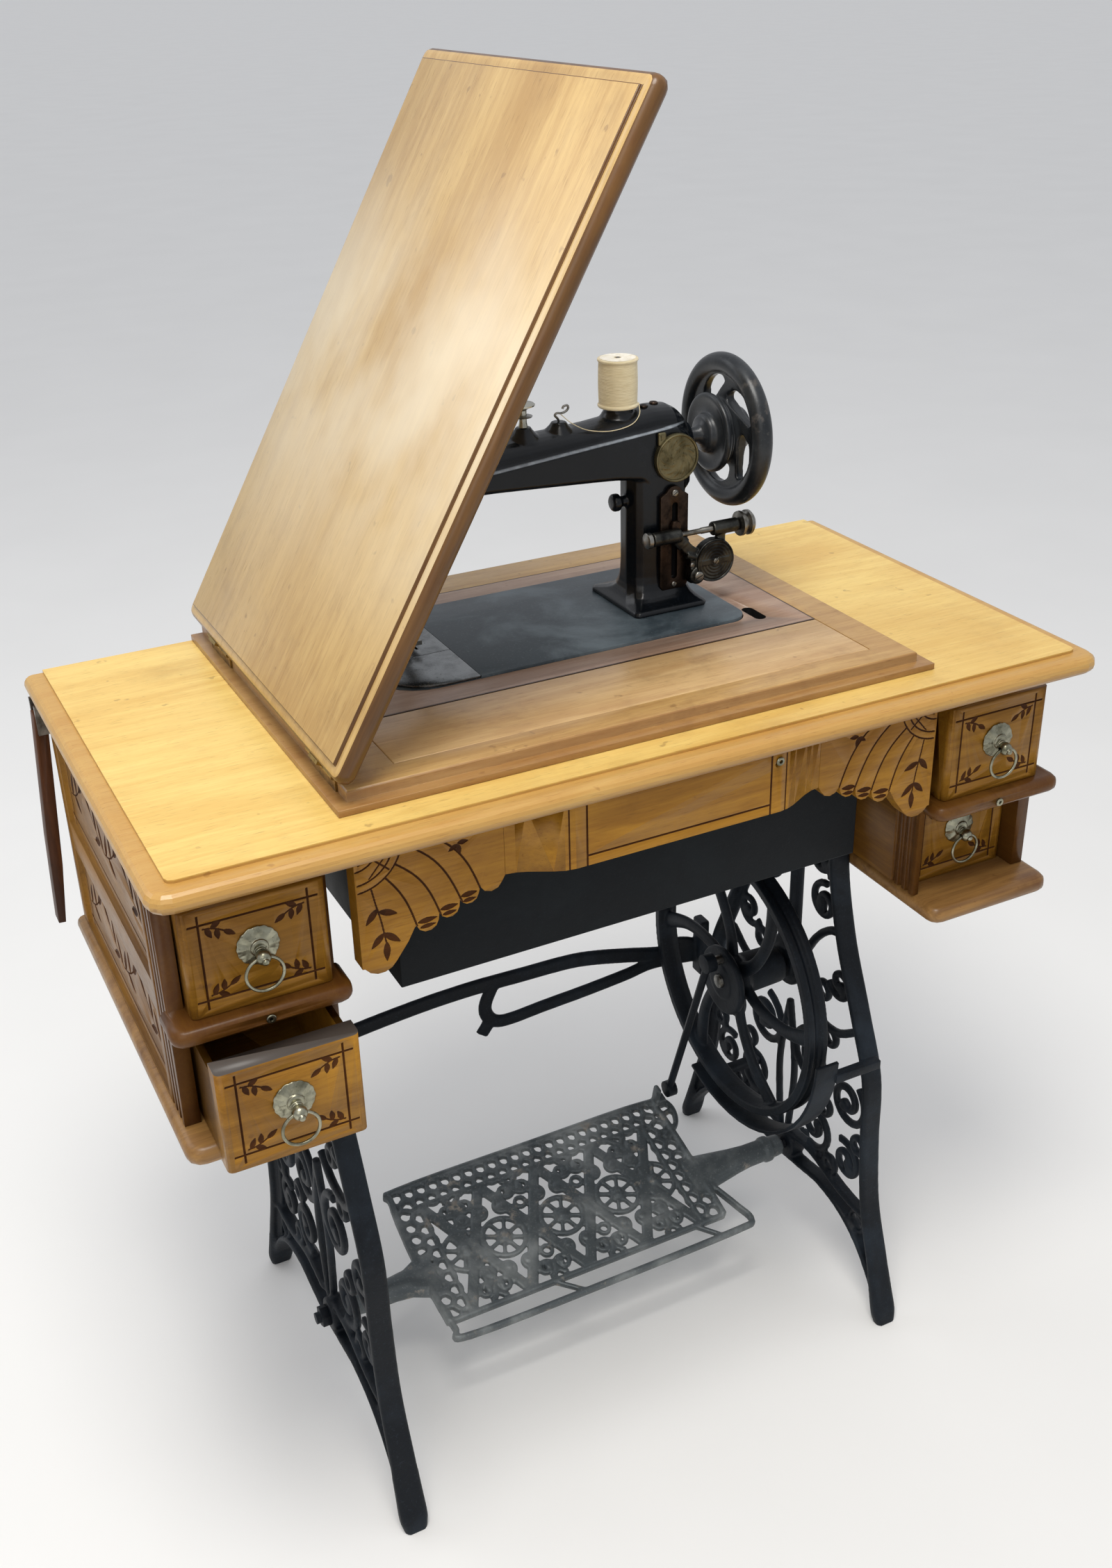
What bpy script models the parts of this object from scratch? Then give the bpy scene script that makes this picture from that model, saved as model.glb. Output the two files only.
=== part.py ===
"""Treadle sewing machine in a two-pedestal drop-leaf cabinet on cast-iron legs.

Metres, +Z up. X runs along the table, Y from the sewer's side (front, -Y) to the back.
Every height below is given from the table's flat top, which stands TOP above the floor.
"""
import math

import bmesh
import bpy
from mathutils import Matrix, Vector

# ---------------------------------------------------------------- driving dimensions
TOP = 0.790                    # flat table top above the floor
GAP = 0.0003                   # clearance between touching pieces
SHIFT = Vector((0.00676, 0.02445, 0.0))   # brings the bounding box centre over the origin

FLAT_X, FLAT_Y = 0.430, 0.220  # half sizes of the flat part of the table top
BEAD_R = 0.009                 # bead run round the front and the ends
BEAD_OUT = 0.0185              # how far the bead stands out of the flat
TABLE_THICK = 0.021

RIM_LOW, RIM_H = 0.006, 0.0155           # lower step and top of the raised rim
RIM_X, RIM_FRONT = 0.287, -0.192
RIM_STEP = 0.0115
WELL_X0, WELL_X1 = -0.2255, 0.2425       # opening inside the rim
WELL_Y0, WELL_Y1 = -0.1540, 0.1770
LEDGE = 0.010
FLAP_BACK = -0.0683                      # joint between front flap and machine board

BED_X0, BED_X1 = -0.180, 0.190
BED_Y0, BED_Y1 = -0.036, 0.144
BED_Z = RIM_H + 0.0024
BED_THICK = 0.011

CASE_IN, CASE_OUT = 0.2985, 0.4370       # pedestal, from its inner to its outer side
OPEN_IN, OPEN_OUT = 0.3050, 0.4235       # drawer opening
CASE_FRONT, CASE_BACK = -0.178, 0.190
SHELF_TOP, SHELF_LOW = -0.1395, -0.1555
BASE_TOP, BASE_LOW = -0.2528, -0.2705
DRAWER_FRONT = -0.200
DRAWER_H = 0.095
UPPER_Z, LOWER_Z = -0.1385, -0.2520      # undersides of the drawer fronts
PULLED_OUT, PUSHED_IN = 0.052, 0.040     # how the two lower drawers stand

BRACKET_Y = -0.206
FRAME_X = 0.285                          # centre planes of the iron side frames
WEB = 0.007
FLANGE = 0.023
FLOOR = -TOP
PIVOT_Y, PIVOT_Z = -0.018, -0.674        # treadle axis
TREADLE_TILT = math.radians(14)
WHEEL_X, WHEEL_Y, WHEEL_Z, WHEEL_R = 0.215, 0.005, -0.430, 0.158
GUARD_R = 0.1755
CRANK_R = 0.0285
PITMAN_Y = 0.100                         # pitman's lower pivot on the treadle

LID_ANGLE = math.radians(60)             # how far the leaf stands open
LID_LEN, LID_W0, LID_W1, LID_THICK = 0.562, -0.192, 0.2215, 0.019
HINGE_X, HINGE_Z = -0.2780, 0.0190

ARM_Y0, ARM_Y1 = 0.031, 0.085            # front and back of the machine arm
HEAD_Y = 0.058                           # centre line of the head
SHAFT_Z = 0.173                          # main shaft
NEEDLE_X = -0.126
HAND_X, HAND_R = 0.2165, 0.0735          # handwheel centre plane and outer radius
SPOOL_X, SPOOL_Y, SPOOL_Z = 0.099, 0.060, 0.2112         # foot of the thread spool

parts = bpy.data.collections.new("treadle_sewing_machine")
empties = {}
materials = {}


# ---------------------------------------------------------------- helpers
def clear_scene():
    for obj in list(bpy.data.objects):
        bpy.data.objects.remove(obj)
    bpy.context.scene.collection.children.link(parts)


def material(name, colour, roughness, metallic=0.0):
    mat = bpy.data.materials.new(name)
    mat.use_nodes = True
    shader = mat.node_tree.nodes["Principled BSDF"]
    shader.inputs["Base Color"].default_value = (*colour, 1.0)
    shader.inputs["Roughness"].default_value = roughness
    shader.inputs["Metallic"].default_value = metallic
    materials[name] = mat


def link(mesh, name="piece"):
    obj = bpy.data.objects.new(name, mesh)
    parts.objects.link(obj)
    return obj


def from_bmesh(bm):
    mesh = bpy.data.meshes.new("piece")
    bm.to_mesh(mesh)
    bm.free()
    return link(mesh)


def bake(obj):
    """Turn an object with modifiers, or a curve, into a plain closed mesh object."""
    graph = bpy.context.evaluated_depsgraph_get()
    mesh = bpy.data.meshes.new_from_object(obj.evaluated_get(graph))
    mesh.transform(obj.matrix_world)
    bpy.data.objects.remove(obj)
    bm = bmesh.new()
    bm.from_mesh(mesh)
    bmesh.ops.remove_doubles(bm, verts=bm.verts, dist=1e-6)
    bm.to_mesh(mesh)
    bm.free()
    return link(mesh)


def block(x, y, z, rounds=()):
    """Box over the spans x, y and z; rounds holds (edge test, radius, segments)."""
    bm = bmesh.new()
    bmesh.ops.create_cube(bm, size=1.0)
    size = Vector((x[1] - x[0], y[1] - y[0], z[1] - z[0]))
    centre = Vector((x[0] + x[1], y[0] + y[1], z[0] + z[1])) / 2
    bmesh.ops.scale(bm, vec=size, verts=bm.verts)
    bmesh.ops.translate(bm, vec=centre, verts=bm.verts)
    for test, radius, segments in rounds:
        edges = [e for e in bm.edges if test(*(v.co for v in e.verts))]
        bmesh.ops.bevel(bm, geom=edges, offset=radius, segments=segments, profile=0.5,
                        affect="EDGES")
    return from_bmesh(bm)


def upright(x=None, y=None):
    """Edge test: vertical edges, on the plane x or y where one is given."""
    def test(a, b):
        if abs(a.z - b.z) < 1e-4 or abs(a.x - b.x) + abs(a.y - b.y) > 1e-5:
            return False
        on_x = x is None or abs(a.x - x) < 1e-4
        return on_x and (y is None or abs(a.y - y) < 1e-4)
    return test


def level(back=None):
    """Edge test: level edges, leaving out those on the plane y = back."""
    def test(a, b):
        at_back = back is not None and abs(a.y - back) < 1e-4 and abs(b.y - back) < 1e-4
        return abs(a.z - b.z) < 1e-5 and not at_back
    return test


def rod(start, end, radius, segments=16, end_radius=None):
    start, end = Vector(start), Vector(end)
    bm = bmesh.new()
    bmesh.ops.create_cone(bm, cap_ends=True, segments=segments, radius1=radius,
                          radius2=radius if end_radius is None else end_radius,
                          depth=(end - start).length)
    turn = (end - start).to_track_quat("Z", "Y").to_matrix().to_4x4()
    bm.transform(Matrix.Translation((start + end) / 2) @ turn)
    return from_bmesh(bm)


def ball(centre, radius, segments=14):
    bm = bmesh.new()
    bmesh.ops.create_uvsphere(bm, u_segments=segments, v_segments=segments // 2, radius=radius)
    bmesh.ops.translate(bm, vec=centre, verts=bm.verts)
    return from_bmesh(bm)


def turned(profile, centre, axis, segments=24, closed=False):
    """Screw a (radius, height) profile, top to bottom, round an axis through centre."""
    bm = bmesh.new()
    verts = [bm.verts.new((r, 0, h)) for r, h in profile]
    for a, b in zip(verts, verts[1:]):
        bm.edges.new((a, b))
    if closed:
        bm.edges.new((verts[-1], verts[0]))
    obj = from_bmesh(bm)
    screw = obj.modifiers.new("Screw", "SCREW")
    screw.steps = screw.render_steps = segments
    screw.use_merge_vertices = True
    screw.merge_threshold = 1e-5
    turn = Vector(axis).to_track_quat("Z", "Y").to_matrix().to_4x4()
    obj.matrix_world = Matrix.Translation(centre) @ turn
    bpy.context.view_layer.update()
    return bake(obj)


def plate(outlines, span, plane="XZ"):
    """Extrude flat outlines (the first is the outside, the rest are holes) over a span."""
    curve = bpy.data.curves.new("outline", "CURVE")
    curve.dimensions = "2D"
    curve.fill_mode = "BOTH"
    curve.extrude = (span[1] - span[0]) / 2
    for points in outlines:
        spline = curve.splines.new("POLY")
        spline.points.add(len(points) - 1)
        spline.use_cyclic_u = True
        for point, (u, v) in zip(spline.points, points):
            point.co = (u, v, 0, 1)
    obj = link(curve)
    middle = (span[0] + span[1]) / 2
    if plane == "XZ":
        obj.matrix_world = Matrix.Translation((0, middle, 0)) @ Matrix.Rotation(math.pi / 2, 4, "X")
    elif plane == "YZ":
        turn = Matrix(((0, 0, 1, middle), (1, 0, 0, 0), (0, 1, 0, 0), (0, 0, 0, 1)))
        obj.matrix_world = turn
    else:
        obj.matrix_world = Matrix.Translation((0, 0, middle))
    bpy.context.view_layer.update()
    return bake(obj)


def tube(points, radius, resolution=2, cyclic=False):
    curve = bpy.data.curves.new("tube", "CURVE")
    curve.dimensions = "3D"
    curve.bevel_depth = radius
    curve.bevel_resolution = resolution
    curve.use_fill_caps = True
    spline = curve.splines.new("POLY")
    spline.points.add(len(points) - 1)
    spline.use_cyclic_u = cyclic
    for point, co in zip(spline.points, points):
        point.co = (*co, 1)
    return bake(link(curve))


def torus(centre, axis, major, minor, major_segments=24, minor_segments=8):
    bpy.ops.mesh.primitive_torus_add(major_radius=major, minor_radius=minor,
                                     major_segments=major_segments,
                                     minor_segments=minor_segments)
    made = bpy.context.object
    mesh = made.data
    bpy.data.objects.remove(made)
    turn = Vector(axis).to_track_quat("Z", "Y").to_matrix().to_4x4()
    mesh.transform(Matrix.Translation(centre) @ turn)
    return link(mesh)


def combine(operation, target, tools):
    for tool in tools:
        modifier = target.modifiers.new("Boolean", "BOOLEAN")
        modifier.operation = operation
        modifier.object = tool
    bpy.context.view_layer.update()
    result = bake(target)
    for tool in tools:
        bpy.data.objects.remove(tool)
    return result


def fuse(first, *rest):
    return combine("UNION", first, rest)


def cut(target, *cutters):
    return combine("DIFFERENCE", target, cutters)


def smooth_path(controls, steps=4):
    """Catmull-Rom points through the controls."""
    points = [2 * Vector(controls[0]) - Vector(controls[1])]
    points += [Vector(c) for c in controls]
    points.append(2 * points[-1] - points[-2])
    path = []
    for p0, p1, p2, p3 in zip(points, points[1:], points[2:], points[3:]):
        for i in range(steps):
            t = i / steps
            path.append(0.5 * (2 * p1 + (p2 - p0) * t + (2 * p0 - 5 * p1 + 4 * p2 - p3) * t * t
                               + (3 * p1 - p0 - 3 * p2 + p3) * t ** 3))
    path.append(points[-2])
    return path


def ribbon(path, width):
    """Closed outline of a flat strip of the given width along a flat path."""
    left, right = [], []
    for i, p in enumerate(path):
        along = (path[min(i + 1, len(path) - 1)] - path[max(i - 1, 0)]).normalized()
        side = Vector((-along.y, along.x)) * width / 2
        left.append(p + side)
        right.append(p - side)
    return left + right[::-1]


def arc(centre, radius, start, end, steps):
    """Points of a flat arc, angles in degrees."""
    angles = [math.radians(start + (end - start) * i / steps) for i in range(steps + 1)]
    return [Vector((centre[0] + radius * math.cos(a), centre[1] + radius * math.sin(a)))
            for a in angles]


def oval(centre, ru, rv, count=12, turn=0.0):
    points = []
    for i in range(count):
        a = math.tau * i / count
        u, v = ru * math.cos(a), rv * math.sin(a)
        points.append((centre[0] + u * math.cos(turn) - v * math.sin(turn),
                       centre[1] + u * math.sin(turn) + v * math.cos(turn)))
    return points


def rounded(x, y, radii, steps=4):
    """Rounded rectangle; radii are for the corners from low-low round anticlockwise."""
    corners = ((x[0], y[0], 180), (x[1], y[0], 270), (x[1], y[1], 0), (x[0], y[1], 90))
    points = []
    for (cx, cy, angle), r in zip(corners, radii):
        inside = (cx + (r if cx == x[0] else -r), cy + (r if cy == y[0] else -r))
        points += arc(inside, r, angle, angle + 90, steps)
    return points


def body(name, pivot, parent=None):
    """Empty on a joint's axis, which carries the pieces of one moving body."""
    empty = bpy.data.objects.new("pivot_" + name, None)
    parts.objects.link(empty)
    empties[name] = empty
    empty.parent = empties.get(parent)
    offset = empties[parent].matrix_world.translation if parent else Vector()
    empty.location = Vector(pivot) - offset
    bpy.context.view_layer.update()


def finish(obj, name, mat, carrier=None, smooth=40):
    """Name the piece, colour it, shade it and hang it on its body with its origin there."""
    obj.name = obj.data.name = name
    obj.data.materials.clear()
    obj.data.materials.append(materials[mat])
    obj.data.shade_smooth()
    obj.data.set_sharp_from_angle(angle=math.radians(smooth))
    if carrier:
        origin = empties[carrier].matrix_world.translation
        obj.data.transform(Matrix.Translation(-origin))
        obj.parent = empties[carrier]
    return obj


def sides():
    return (("left", -1), ("right", 1))


def span(sign, near, far):
    """X span of a piece that is near..far from the middle on one side."""
    return tuple(sorted((sign * near, sign * far)))


def mirrored_outline(points, sign):
    return [(sign * x, z) for x, z in points]


# ---------------------------------------------------------------- cabinet
def table_top():
    back = FLAT_Y
    out_x, out_y = FLAT_X + BEAD_OUT, FLAT_Y + BEAD_OUT
    bead = block((-out_x, out_x), (-out_y, back), (-TABLE_THICK, -TABLE_THICK + 2 * BEAD_R),
                 [(upright(y=-out_y), 0.018, 3),
                  (level(back), BEAD_R * 0.98, 4)])
    flat = block((-FLAT_X, FLAT_X), (-FLAT_Y, back), (-TABLE_THICK / 2, 0),
                 [(upright(y=-FLAT_Y), 0.006, 2)])
    step = block((-FLAT_X - 0.003, FLAT_X + 0.003), (-FLAT_Y - 0.003, back),
                 (-TABLE_THICK / 2, -0.0052), [(upright(y=-FLAT_Y - 0.003), 0.008, 2)])
    well = block((WELL_X0 + LEDGE, WELL_X1 - LEDGE), (WELL_Y0 + LEDGE, WELL_Y1 - LEDGE),
                 (-0.05, 0.05))
    finish(cut(fuse(bead, step, flat), well), "table_top", "maple")


def raised_rim():
    low = block((-RIM_X, RIM_X), (RIM_FRONT, FLAT_Y), (GAP, RIM_LOW))
    high_x, high_y = RIM_X - RIM_STEP, RIM_FRONT + RIM_STEP
    high = block((-high_x, high_x), (high_y, FLAT_Y - 0.0005), (0.002, RIM_H),
                 [(level(FLAT_Y - 0.0005), 0.0015, 1)])
    opening = block((WELL_X0, WELL_X1), (WELL_Y0, WELL_Y1), (-0.05, 0.05))
    finish(cut(fuse(low, high), opening), "raised_rim", "maple")


def bed_outline(grow=0.0):
    return rounded((BED_X0 - grow, BED_X1 + grow), (BED_Y0 - grow, BED_Y1 + grow),
                   (0.045 + grow, 0.020 + grow, 0.020 + grow, 0.045 + grow), 6)


def machine_board():
    board = block((WELL_X0 + 0.0005, WELL_X1 - 0.0005), (FLAP_BACK + 0.0005, WELL_Y1 - 0.0005),
                  (GAP, RIM_H))
    hole = plate([bed_outline(0.001)], (-0.05, 0.05), "XY")
    slot = plate([rounded((0.1955, 0.2035), (-0.041, -0.013), (0.003,) * 4, 2)],
                 (-0.05, 0.05), "XY")
    finish(cut(board, hole, slot), "machine_board", "red_board")


def front_flap():
    body("front_flap", (0, WELL_Y0 + 0.0005, RIM_H))
    flap = block((WELL_X0 + 0.0005, WELL_X1 - 0.0005), (WELL_Y0 + 0.0005, FLAP_BACK - 0.0003),
                 (GAP, RIM_H))
    finish(flap, "front_flap", "maple", "front_flap")


def base_shelf(name, sign):
    board = block(span(sign, 0.2972, 0.4445), (-0.214, CASE_BACK + 0.002),
                  (BASE_LOW, BASE_TOP),
                  [(upright(y=-0.214), 0.014, 3),
                   (level(CASE_BACK + 0.002), 0.0075, 3)])
    finish(board, name + "_base_shelf", "maple")


def pedestal_case(name, sign):
    """Carcass: sunk side panels, reeded front posts and the moulded shelf between drawers."""
    top, low = -TABLE_THICK - GAP, BASE_TOP + GAP
    whole = block(span(sign, CASE_IN, CASE_OUT), (CASE_FRONT, CASE_BACK), (low, top))
    room = block(span(sign, OPEN_IN, OPEN_OUT), (CASE_FRONT - 0.02, CASE_BACK - 0.007),
                 (low - 0.02, top - 0.012))
    cutters = [room]
    for z in ((-0.249, -0.1640), (-0.1360, -0.0420)):
        cutters.append(block(span(sign, CASE_OUT - 0.004, CASE_OUT + 0.01), (-0.133, 0.168), z))
    for i in range(3):
        y = CASE_FRONT + 0.010 + 0.011 * i
        for x in (CASE_IN, CASE_OUT):
            cutters.append(rod((sign * x, y, low - 0.01), (sign * x, y, top + 0.01), 0.0032, 8))
    lip = block(span(sign, 0.2925, 0.4425), (-0.213, CASE_FRONT + 0.004), (SHELF_LOW, SHELF_TOP),
                [(upright(y=-0.213), 0.012, 3), (level(CASE_FRONT + 0.004), 0.0068, 3)])
    board = block(span(sign, OPEN_IN - 0.003, OPEN_OUT + 0.003), (CASE_FRONT + 0.003, CASE_BACK - 0.005),
                  (SHELF_LOW + 0.0008, SHELF_TOP - 0.0008))
    lock = rod((sign * 0.3643, -0.22, -0.1475), (sign * 0.3643, -0.205, -0.1475), 0.0032, 10)
    case = fuse(cut(whole, *cutters), lip, board)
    finish(cut(case, lock), name + "_pedestal_case", "maple")


def drawer(name, sign, underside, offset):
    """Drawer with its bow-edged front; offset moves it along Y from its closed place."""
    label = name + "_drawer"
    front_y = DRAWER_FRONT + offset
    low, top = underside, underside + DRAWER_H
    body(label, (sign * 0.36425, front_y, (low + top) / 2))
    face = block(span(sign, OPEN_IN + 0.001, OPEN_OUT - 0.001), (front_y, front_y + 0.020),
                 (low, top), [(upright(y=front_y), 0.005, 3)])
    box = block(span(sign, OPEN_IN + 0.0025, OPEN_OUT - 0.0025),
                (front_y + 0.010, front_y + 0.335), (low + 0.003, top - 0.012))
    hollow = block(span(sign, OPEN_IN + 0.0085, OPEN_OUT - 0.0085),
                   (front_y + 0.020, front_y + 0.328), (low + 0.009, top + 0.05))
    finish(cut(fuse(face, box), hollow), label, "drawer_wood", label)
    pull(label, sign * 0.36425, front_y, (low + top) / 2 + 0.005)


def pull(label, x, front_y, z):
    """Rosette with an eyed ball, and the ring that hangs in the eye."""
    eye_y, eye_z = front_y - 0.0125, z - 0.0045
    base_y = front_y - GAP
    profile = ((0.0, 0.0046), (0.0070, 0.0044), (0.0105, 0.0030), (0.0165, 0.0022),
               (0.0175, 0.0008), (0.0175, 0.0), (0.0, 0.0))
    disc = turned(profile, (x, base_y, z), (0, -1, 0), 16)
    knob = ball((x, eye_y, eye_z), 0.0062, 10)
    stem = rod((x, base_y - 0.002, z - 0.002), (x, eye_y + 0.0035, eye_z), 0.0032, 8)
    bore = rod((x - 0.02, eye_y, eye_z), (x + 0.02, eye_y, eye_z), 0.0031, 8)
    finish(cut(fuse(disc, stem, knob), bore), label + "_rosette", "nickel", label)
    ring = label + "_ring"
    body(ring, (x, eye_y, eye_z), label)
    hoop = torus((x, eye_y, eye_z - 0.0152), (0, 1, 0), 0.0152, 0.0014, 18, 5)
    finish(hoop, ring, "nickel", ring)


def bracket(name, sign):
    """Shaped apron bracket: a rounded drop, three scalloped lobes and a plain tail."""
    top = -TABLE_THICK - GAP
    outline = [(0.2838, top), (0.2838, -0.1330)]
    outline += arc((0.2680, -0.1250), 0.0160, -30, -150, 5)
    outline += [Vector((0.2430, -0.1180)), Vector((0.2370, -0.1070))]
    for x, z, r in ((0.2255, -0.1040, 0.0098), (0.2060, -0.0975, 0.0090), (0.1880, -0.0905, 0.0084)):
        outline += arc((x, z), r, -10, -170, 5)
    outline += arc((0.1680, -0.0825), 0.0105, -20, -160, 4)
    outline += [Vector((0.1552, -0.0810)), Vector((0.1552, top))]
    board = plate([mirrored_outline(outline, sign)], (BRACKET_Y, BRACKET_Y + 0.018))
    finish(board, "apron_bracket_" + name, "maple")


def centre_apron():
    """Serpentine centre panel, bowed forward between its two grooved posts."""
    half, flat, bow, steps = 0.1549, 0.100, 0.0205, 6
    right = []
    for i in range(steps + 1):
        t = i / steps
        right.append((flat + (half - flat) * t, BRACKET_Y - bow * (1 - t * t * (3 - 2 * t))))
    left = [(-x, y) for x, y in right]
    outline = left[::-1] + right + [(half, BRACKET_Y + 0.016), (-half, BRACKET_Y + 0.016)]
    panel = plate([outline], (-0.0810, -TABLE_THICK - GAP), "XY")
    keyhole = rod((0.096, BRACKET_Y - 0.04, -0.034), (0.096, BRACKET_Y - 0.010, -0.034), 0.003, 10)
    finish(cut(panel, keyhole), "centre_apron", "maple")


def dust_box():
    """Tin box under the well, open at the top, that catches lint and oil."""
    outer = block((-0.236, 0.236), (-0.160, 0.178), (-0.195, -TABLE_THICK - GAP))
    room = block((-0.233, 0.233), (-0.157, 0.175), (-0.192, 0.0))
    finish(cut(outer, room), "dust_box", "tin")


def leaf_support():
    """Wooden arm that hangs at the left end and swings up to carry the open leaf."""
    pivot = (-0.4436, 0.198, -0.0420)
    body("leaf_support", pivot)
    outline = ((-0.006, 0.009), (0.006, 0.009), (0.006, -0.150), (0.0035, -0.214),
               (-0.0035, -0.214), (-0.006, -0.120))
    arm = plate([[(pivot[0] + x, pivot[2] + z) for x, z in outline]], (0.1910, 0.2090))
    arm.data.transform(Matrix.Translation(pivot) @ Matrix.Rotation(math.radians(4), 4, "Y")
                       @ Matrix.Translation(-Vector(pivot)))
    eye = rod((pivot[0], 0.15, pivot[2]), (pivot[0], 0.25, pivot[2]), 0.0028, 10)
    finish(cut(arm, eye), "leaf_support", "dark_wood", "leaf_support")
    cheeks = [block((-0.4480, -CASE_OUT - GAP), y, (-0.0505, -TABLE_THICK - GAP))
              for y in ((0.1860, 0.1906), (0.2094, 0.2140))]
    pin = rod((pivot[0], 0.1875, pivot[2]), (pivot[0], 0.2125, pivot[2]), 0.0023, 10)
    finish(fuse(*cheeks, pin), "leaf_support_hinge", "steel")


def lid():
    """Moulded leaf hinged at the rim's left end, leaning back on the head."""
    pivot = Vector((HINGE_X, 0, HINGE_Z))
    body("lid", pivot)
    low = RIM_H + GAP
    x0 = HINGE_X + 0.0035
    x1 = x0 + LID_LEN
    y0, y1 = LID_W0, LID_W1
    bead = block((x0, x1), (y0, y1), (low, low + 0.0165),
                 [(upright(), 0.010, 3), (level(), 0.0072, 3)])
    inset = 0.012
    step = block((x0 + 0.010, x1 - 0.010), (y0 + 0.010, y1 - 0.010), (low + 0.004, low + 0.0145))
    face = block((x0 + inset, x1 - inset), (y0 + inset, y1 - inset), (low + 0.004, low + LID_THICK))
    board = fuse(bead, step, face)
    swing = (Matrix.Translation(pivot) @ Matrix.Rotation(-LID_ANGLE, 4, "Y")
             @ Matrix.Translation(-pivot))
    board.data.transform(swing)
    finish(board, "lid_board", "maple", "lid")
    for label, y in (("front", -0.130), ("back", 0.150)):
        rim_x = -RIM_X + RIM_STEP - GAP
        leaf = block((rim_x - 0.0016, rim_x), (y - 0.030, y + 0.030), (RIM_LOW + GAP, HINGE_Z))
        knuckles = [rod((HINGE_X, y + a, HINGE_Z), (HINGE_X, y + b, HINGE_Z), 0.0026, 10)
                    for a, b in ((-0.030, -0.0105), (0.0105, 0.030))]
        notch = block((-0.3, -0.2), (y - 0.0102, y + 0.0102), (0.0148, 0.03))
        finish(cut(fuse(leaf, *knuckles), notch), "lid_hinge_" + label, "brass")
        tongue = block((HINGE_X, HINGE_X + 0.0031), (y - 0.0095, y + 0.0095), (HINGE_Z, HINGE_Z + 0.008))
        barrel = rod((HINGE_X, y - 0.0095, HINGE_Z), (HINGE_X, y + 0.0095, HINGE_Z), 0.0026, 10)
        moving = fuse(barrel, tongue)
        moving.data.transform(swing)
        finish(moving, "lid_hinge_leaf_" + label, "brass", "lid")


# ---------------------------------------------------------------- irons
def leg_path(sign):
    """Centre line (y, z) of the front (sign -1) or back (sign 1) leg, top to foot."""
    controls = ((0.092, -0.030), (0.074, -0.130), (0.070, -0.250), (0.090, -0.340),
                (0.124, -0.420), (0.152, -0.490), (0.157, -0.570), (0.166, -0.650),
                (0.186, -0.715), (0.203, -0.778))
    return smooth_path([Vector((sign * y - 0.004, z)) for y, z in controls], 2)


def side_frame(name, sign):
    """Cast side frame: a pierced web between two flanged S-shaped legs."""
    x = sign * FRAME_X
    front, back = leg_path(-1), leg_path(1)
    inner_front = [p + Vector((0.030, 0)) for p in front[-5:]][::-1]
    inner_back = [p - Vector((0.030, 0)) for p in back[-5:]]
    arch = [(0.105, -0.690), (0.060, -0.668), (0.022, -0.697)]
    belly = [(-0.004 + sy * y, z) for sy, side in ((1, arch), (-1, arch[::-1])) for y, z in side]
    web = [tuple(p) for p in front] + [tuple(p) for p in inner_front]
    web += [tuple(p) for p in belly[::-1]] + [tuple(p) for p in inner_back]
    web += [tuple(p) for p in back[::-1]]
    holes = []
    for s in (-1, 1):
        holes.append(oval((-0.004 + s * 0.036, -0.150), 0.024, 0.085, 8))
        holes.append(oval((-0.004 + s * 0.030, -0.330), 0.022, 0.070, 8))
        holes.append(oval((-0.004 + s * 0.092, -0.470), 0.022, 0.052, 8, -s * 0.45))
        holes.append(oval((-0.004 + s * 0.104, -0.605), 0.024, 0.060, 8, -s * 0.1))
        holes.append(oval((-0.004 + s * 0.042, -0.560), 0.024, 0.055, 8, -s * 0.3))
    plate_x = (x - WEB / 2, x + WEB / 2)
    frame = [plate([web] + holes, plate_x, "YZ")]
    for path in (front, back):
        frame.append(plate([ribbon(path, 0.010)], (x - FLANGE / 2, x + FLANGE / 2), "YZ"))
        foot = path[-1]
        frame.append(block((x - 0.015, x + 0.015), (foot.x - 0.017, foot.x + 0.017),
                           (FLOOR, FLOOR + 0.022),
                           [(lambda a, b: min(a.z, b.z) > FLOOR + 0.01, 0.006, 2)]))
    frame.append(block((x - FLANGE / 2, x + FLANGE / 2), (-0.1055, 0.0975),
                       (-0.036, -TABLE_THICK - GAP)))
    boss = rod((x - 0.010, PIVOT_Y, PIVOT_Z), (x + 0.010, PIVOT_Y, PIVOT_Z), 0.017, 16)
    hub = rod((x - 0.010, WHEEL_Y, WHEEL_Z), (x + 0.010, WHEEL_Y, WHEEL_Z), 0.020, 16)
    bore = rod((x - 0.05, PIVOT_Y, PIVOT_Z), (x + 0.05, PIVOT_Y, PIVOT_Z), 0.0068, 12)
    axle = rod((x - 0.05, WHEEL_Y, WHEEL_Z), (x + 0.05, WHEEL_Y, WHEEL_Z), 0.0084, 12)
    solid = fuse(*frame, boss, hub)
    finish(cut(solid, bore, axle), name + "_side_frame", "iron")


def treadle_pivot(name, sign):
    """Pointed screw through the side frame, with its nut, that carries the treadle."""
    screw = rod((sign * 0.2700, PIVOT_Y, PIVOT_Z), (sign * 0.3090, PIVOT_Y, PIVOT_Z), 0.0062, 12)
    tip = rod((sign * 0.2702, PIVOT_Y, PIVOT_Z), (sign * 0.2630, PIVOT_Y, PIVOT_Z), 0.0062, 12, 0.0015)
    nut = rod((sign * 0.2954, PIVOT_Y, PIVOT_Z), (sign * 0.3040, PIVOT_Y, PIVOT_Z), 0.0115, 6)
    finish(fuse(screw, tip, nut), "treadle_pivot_" + name, "steel")


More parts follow.
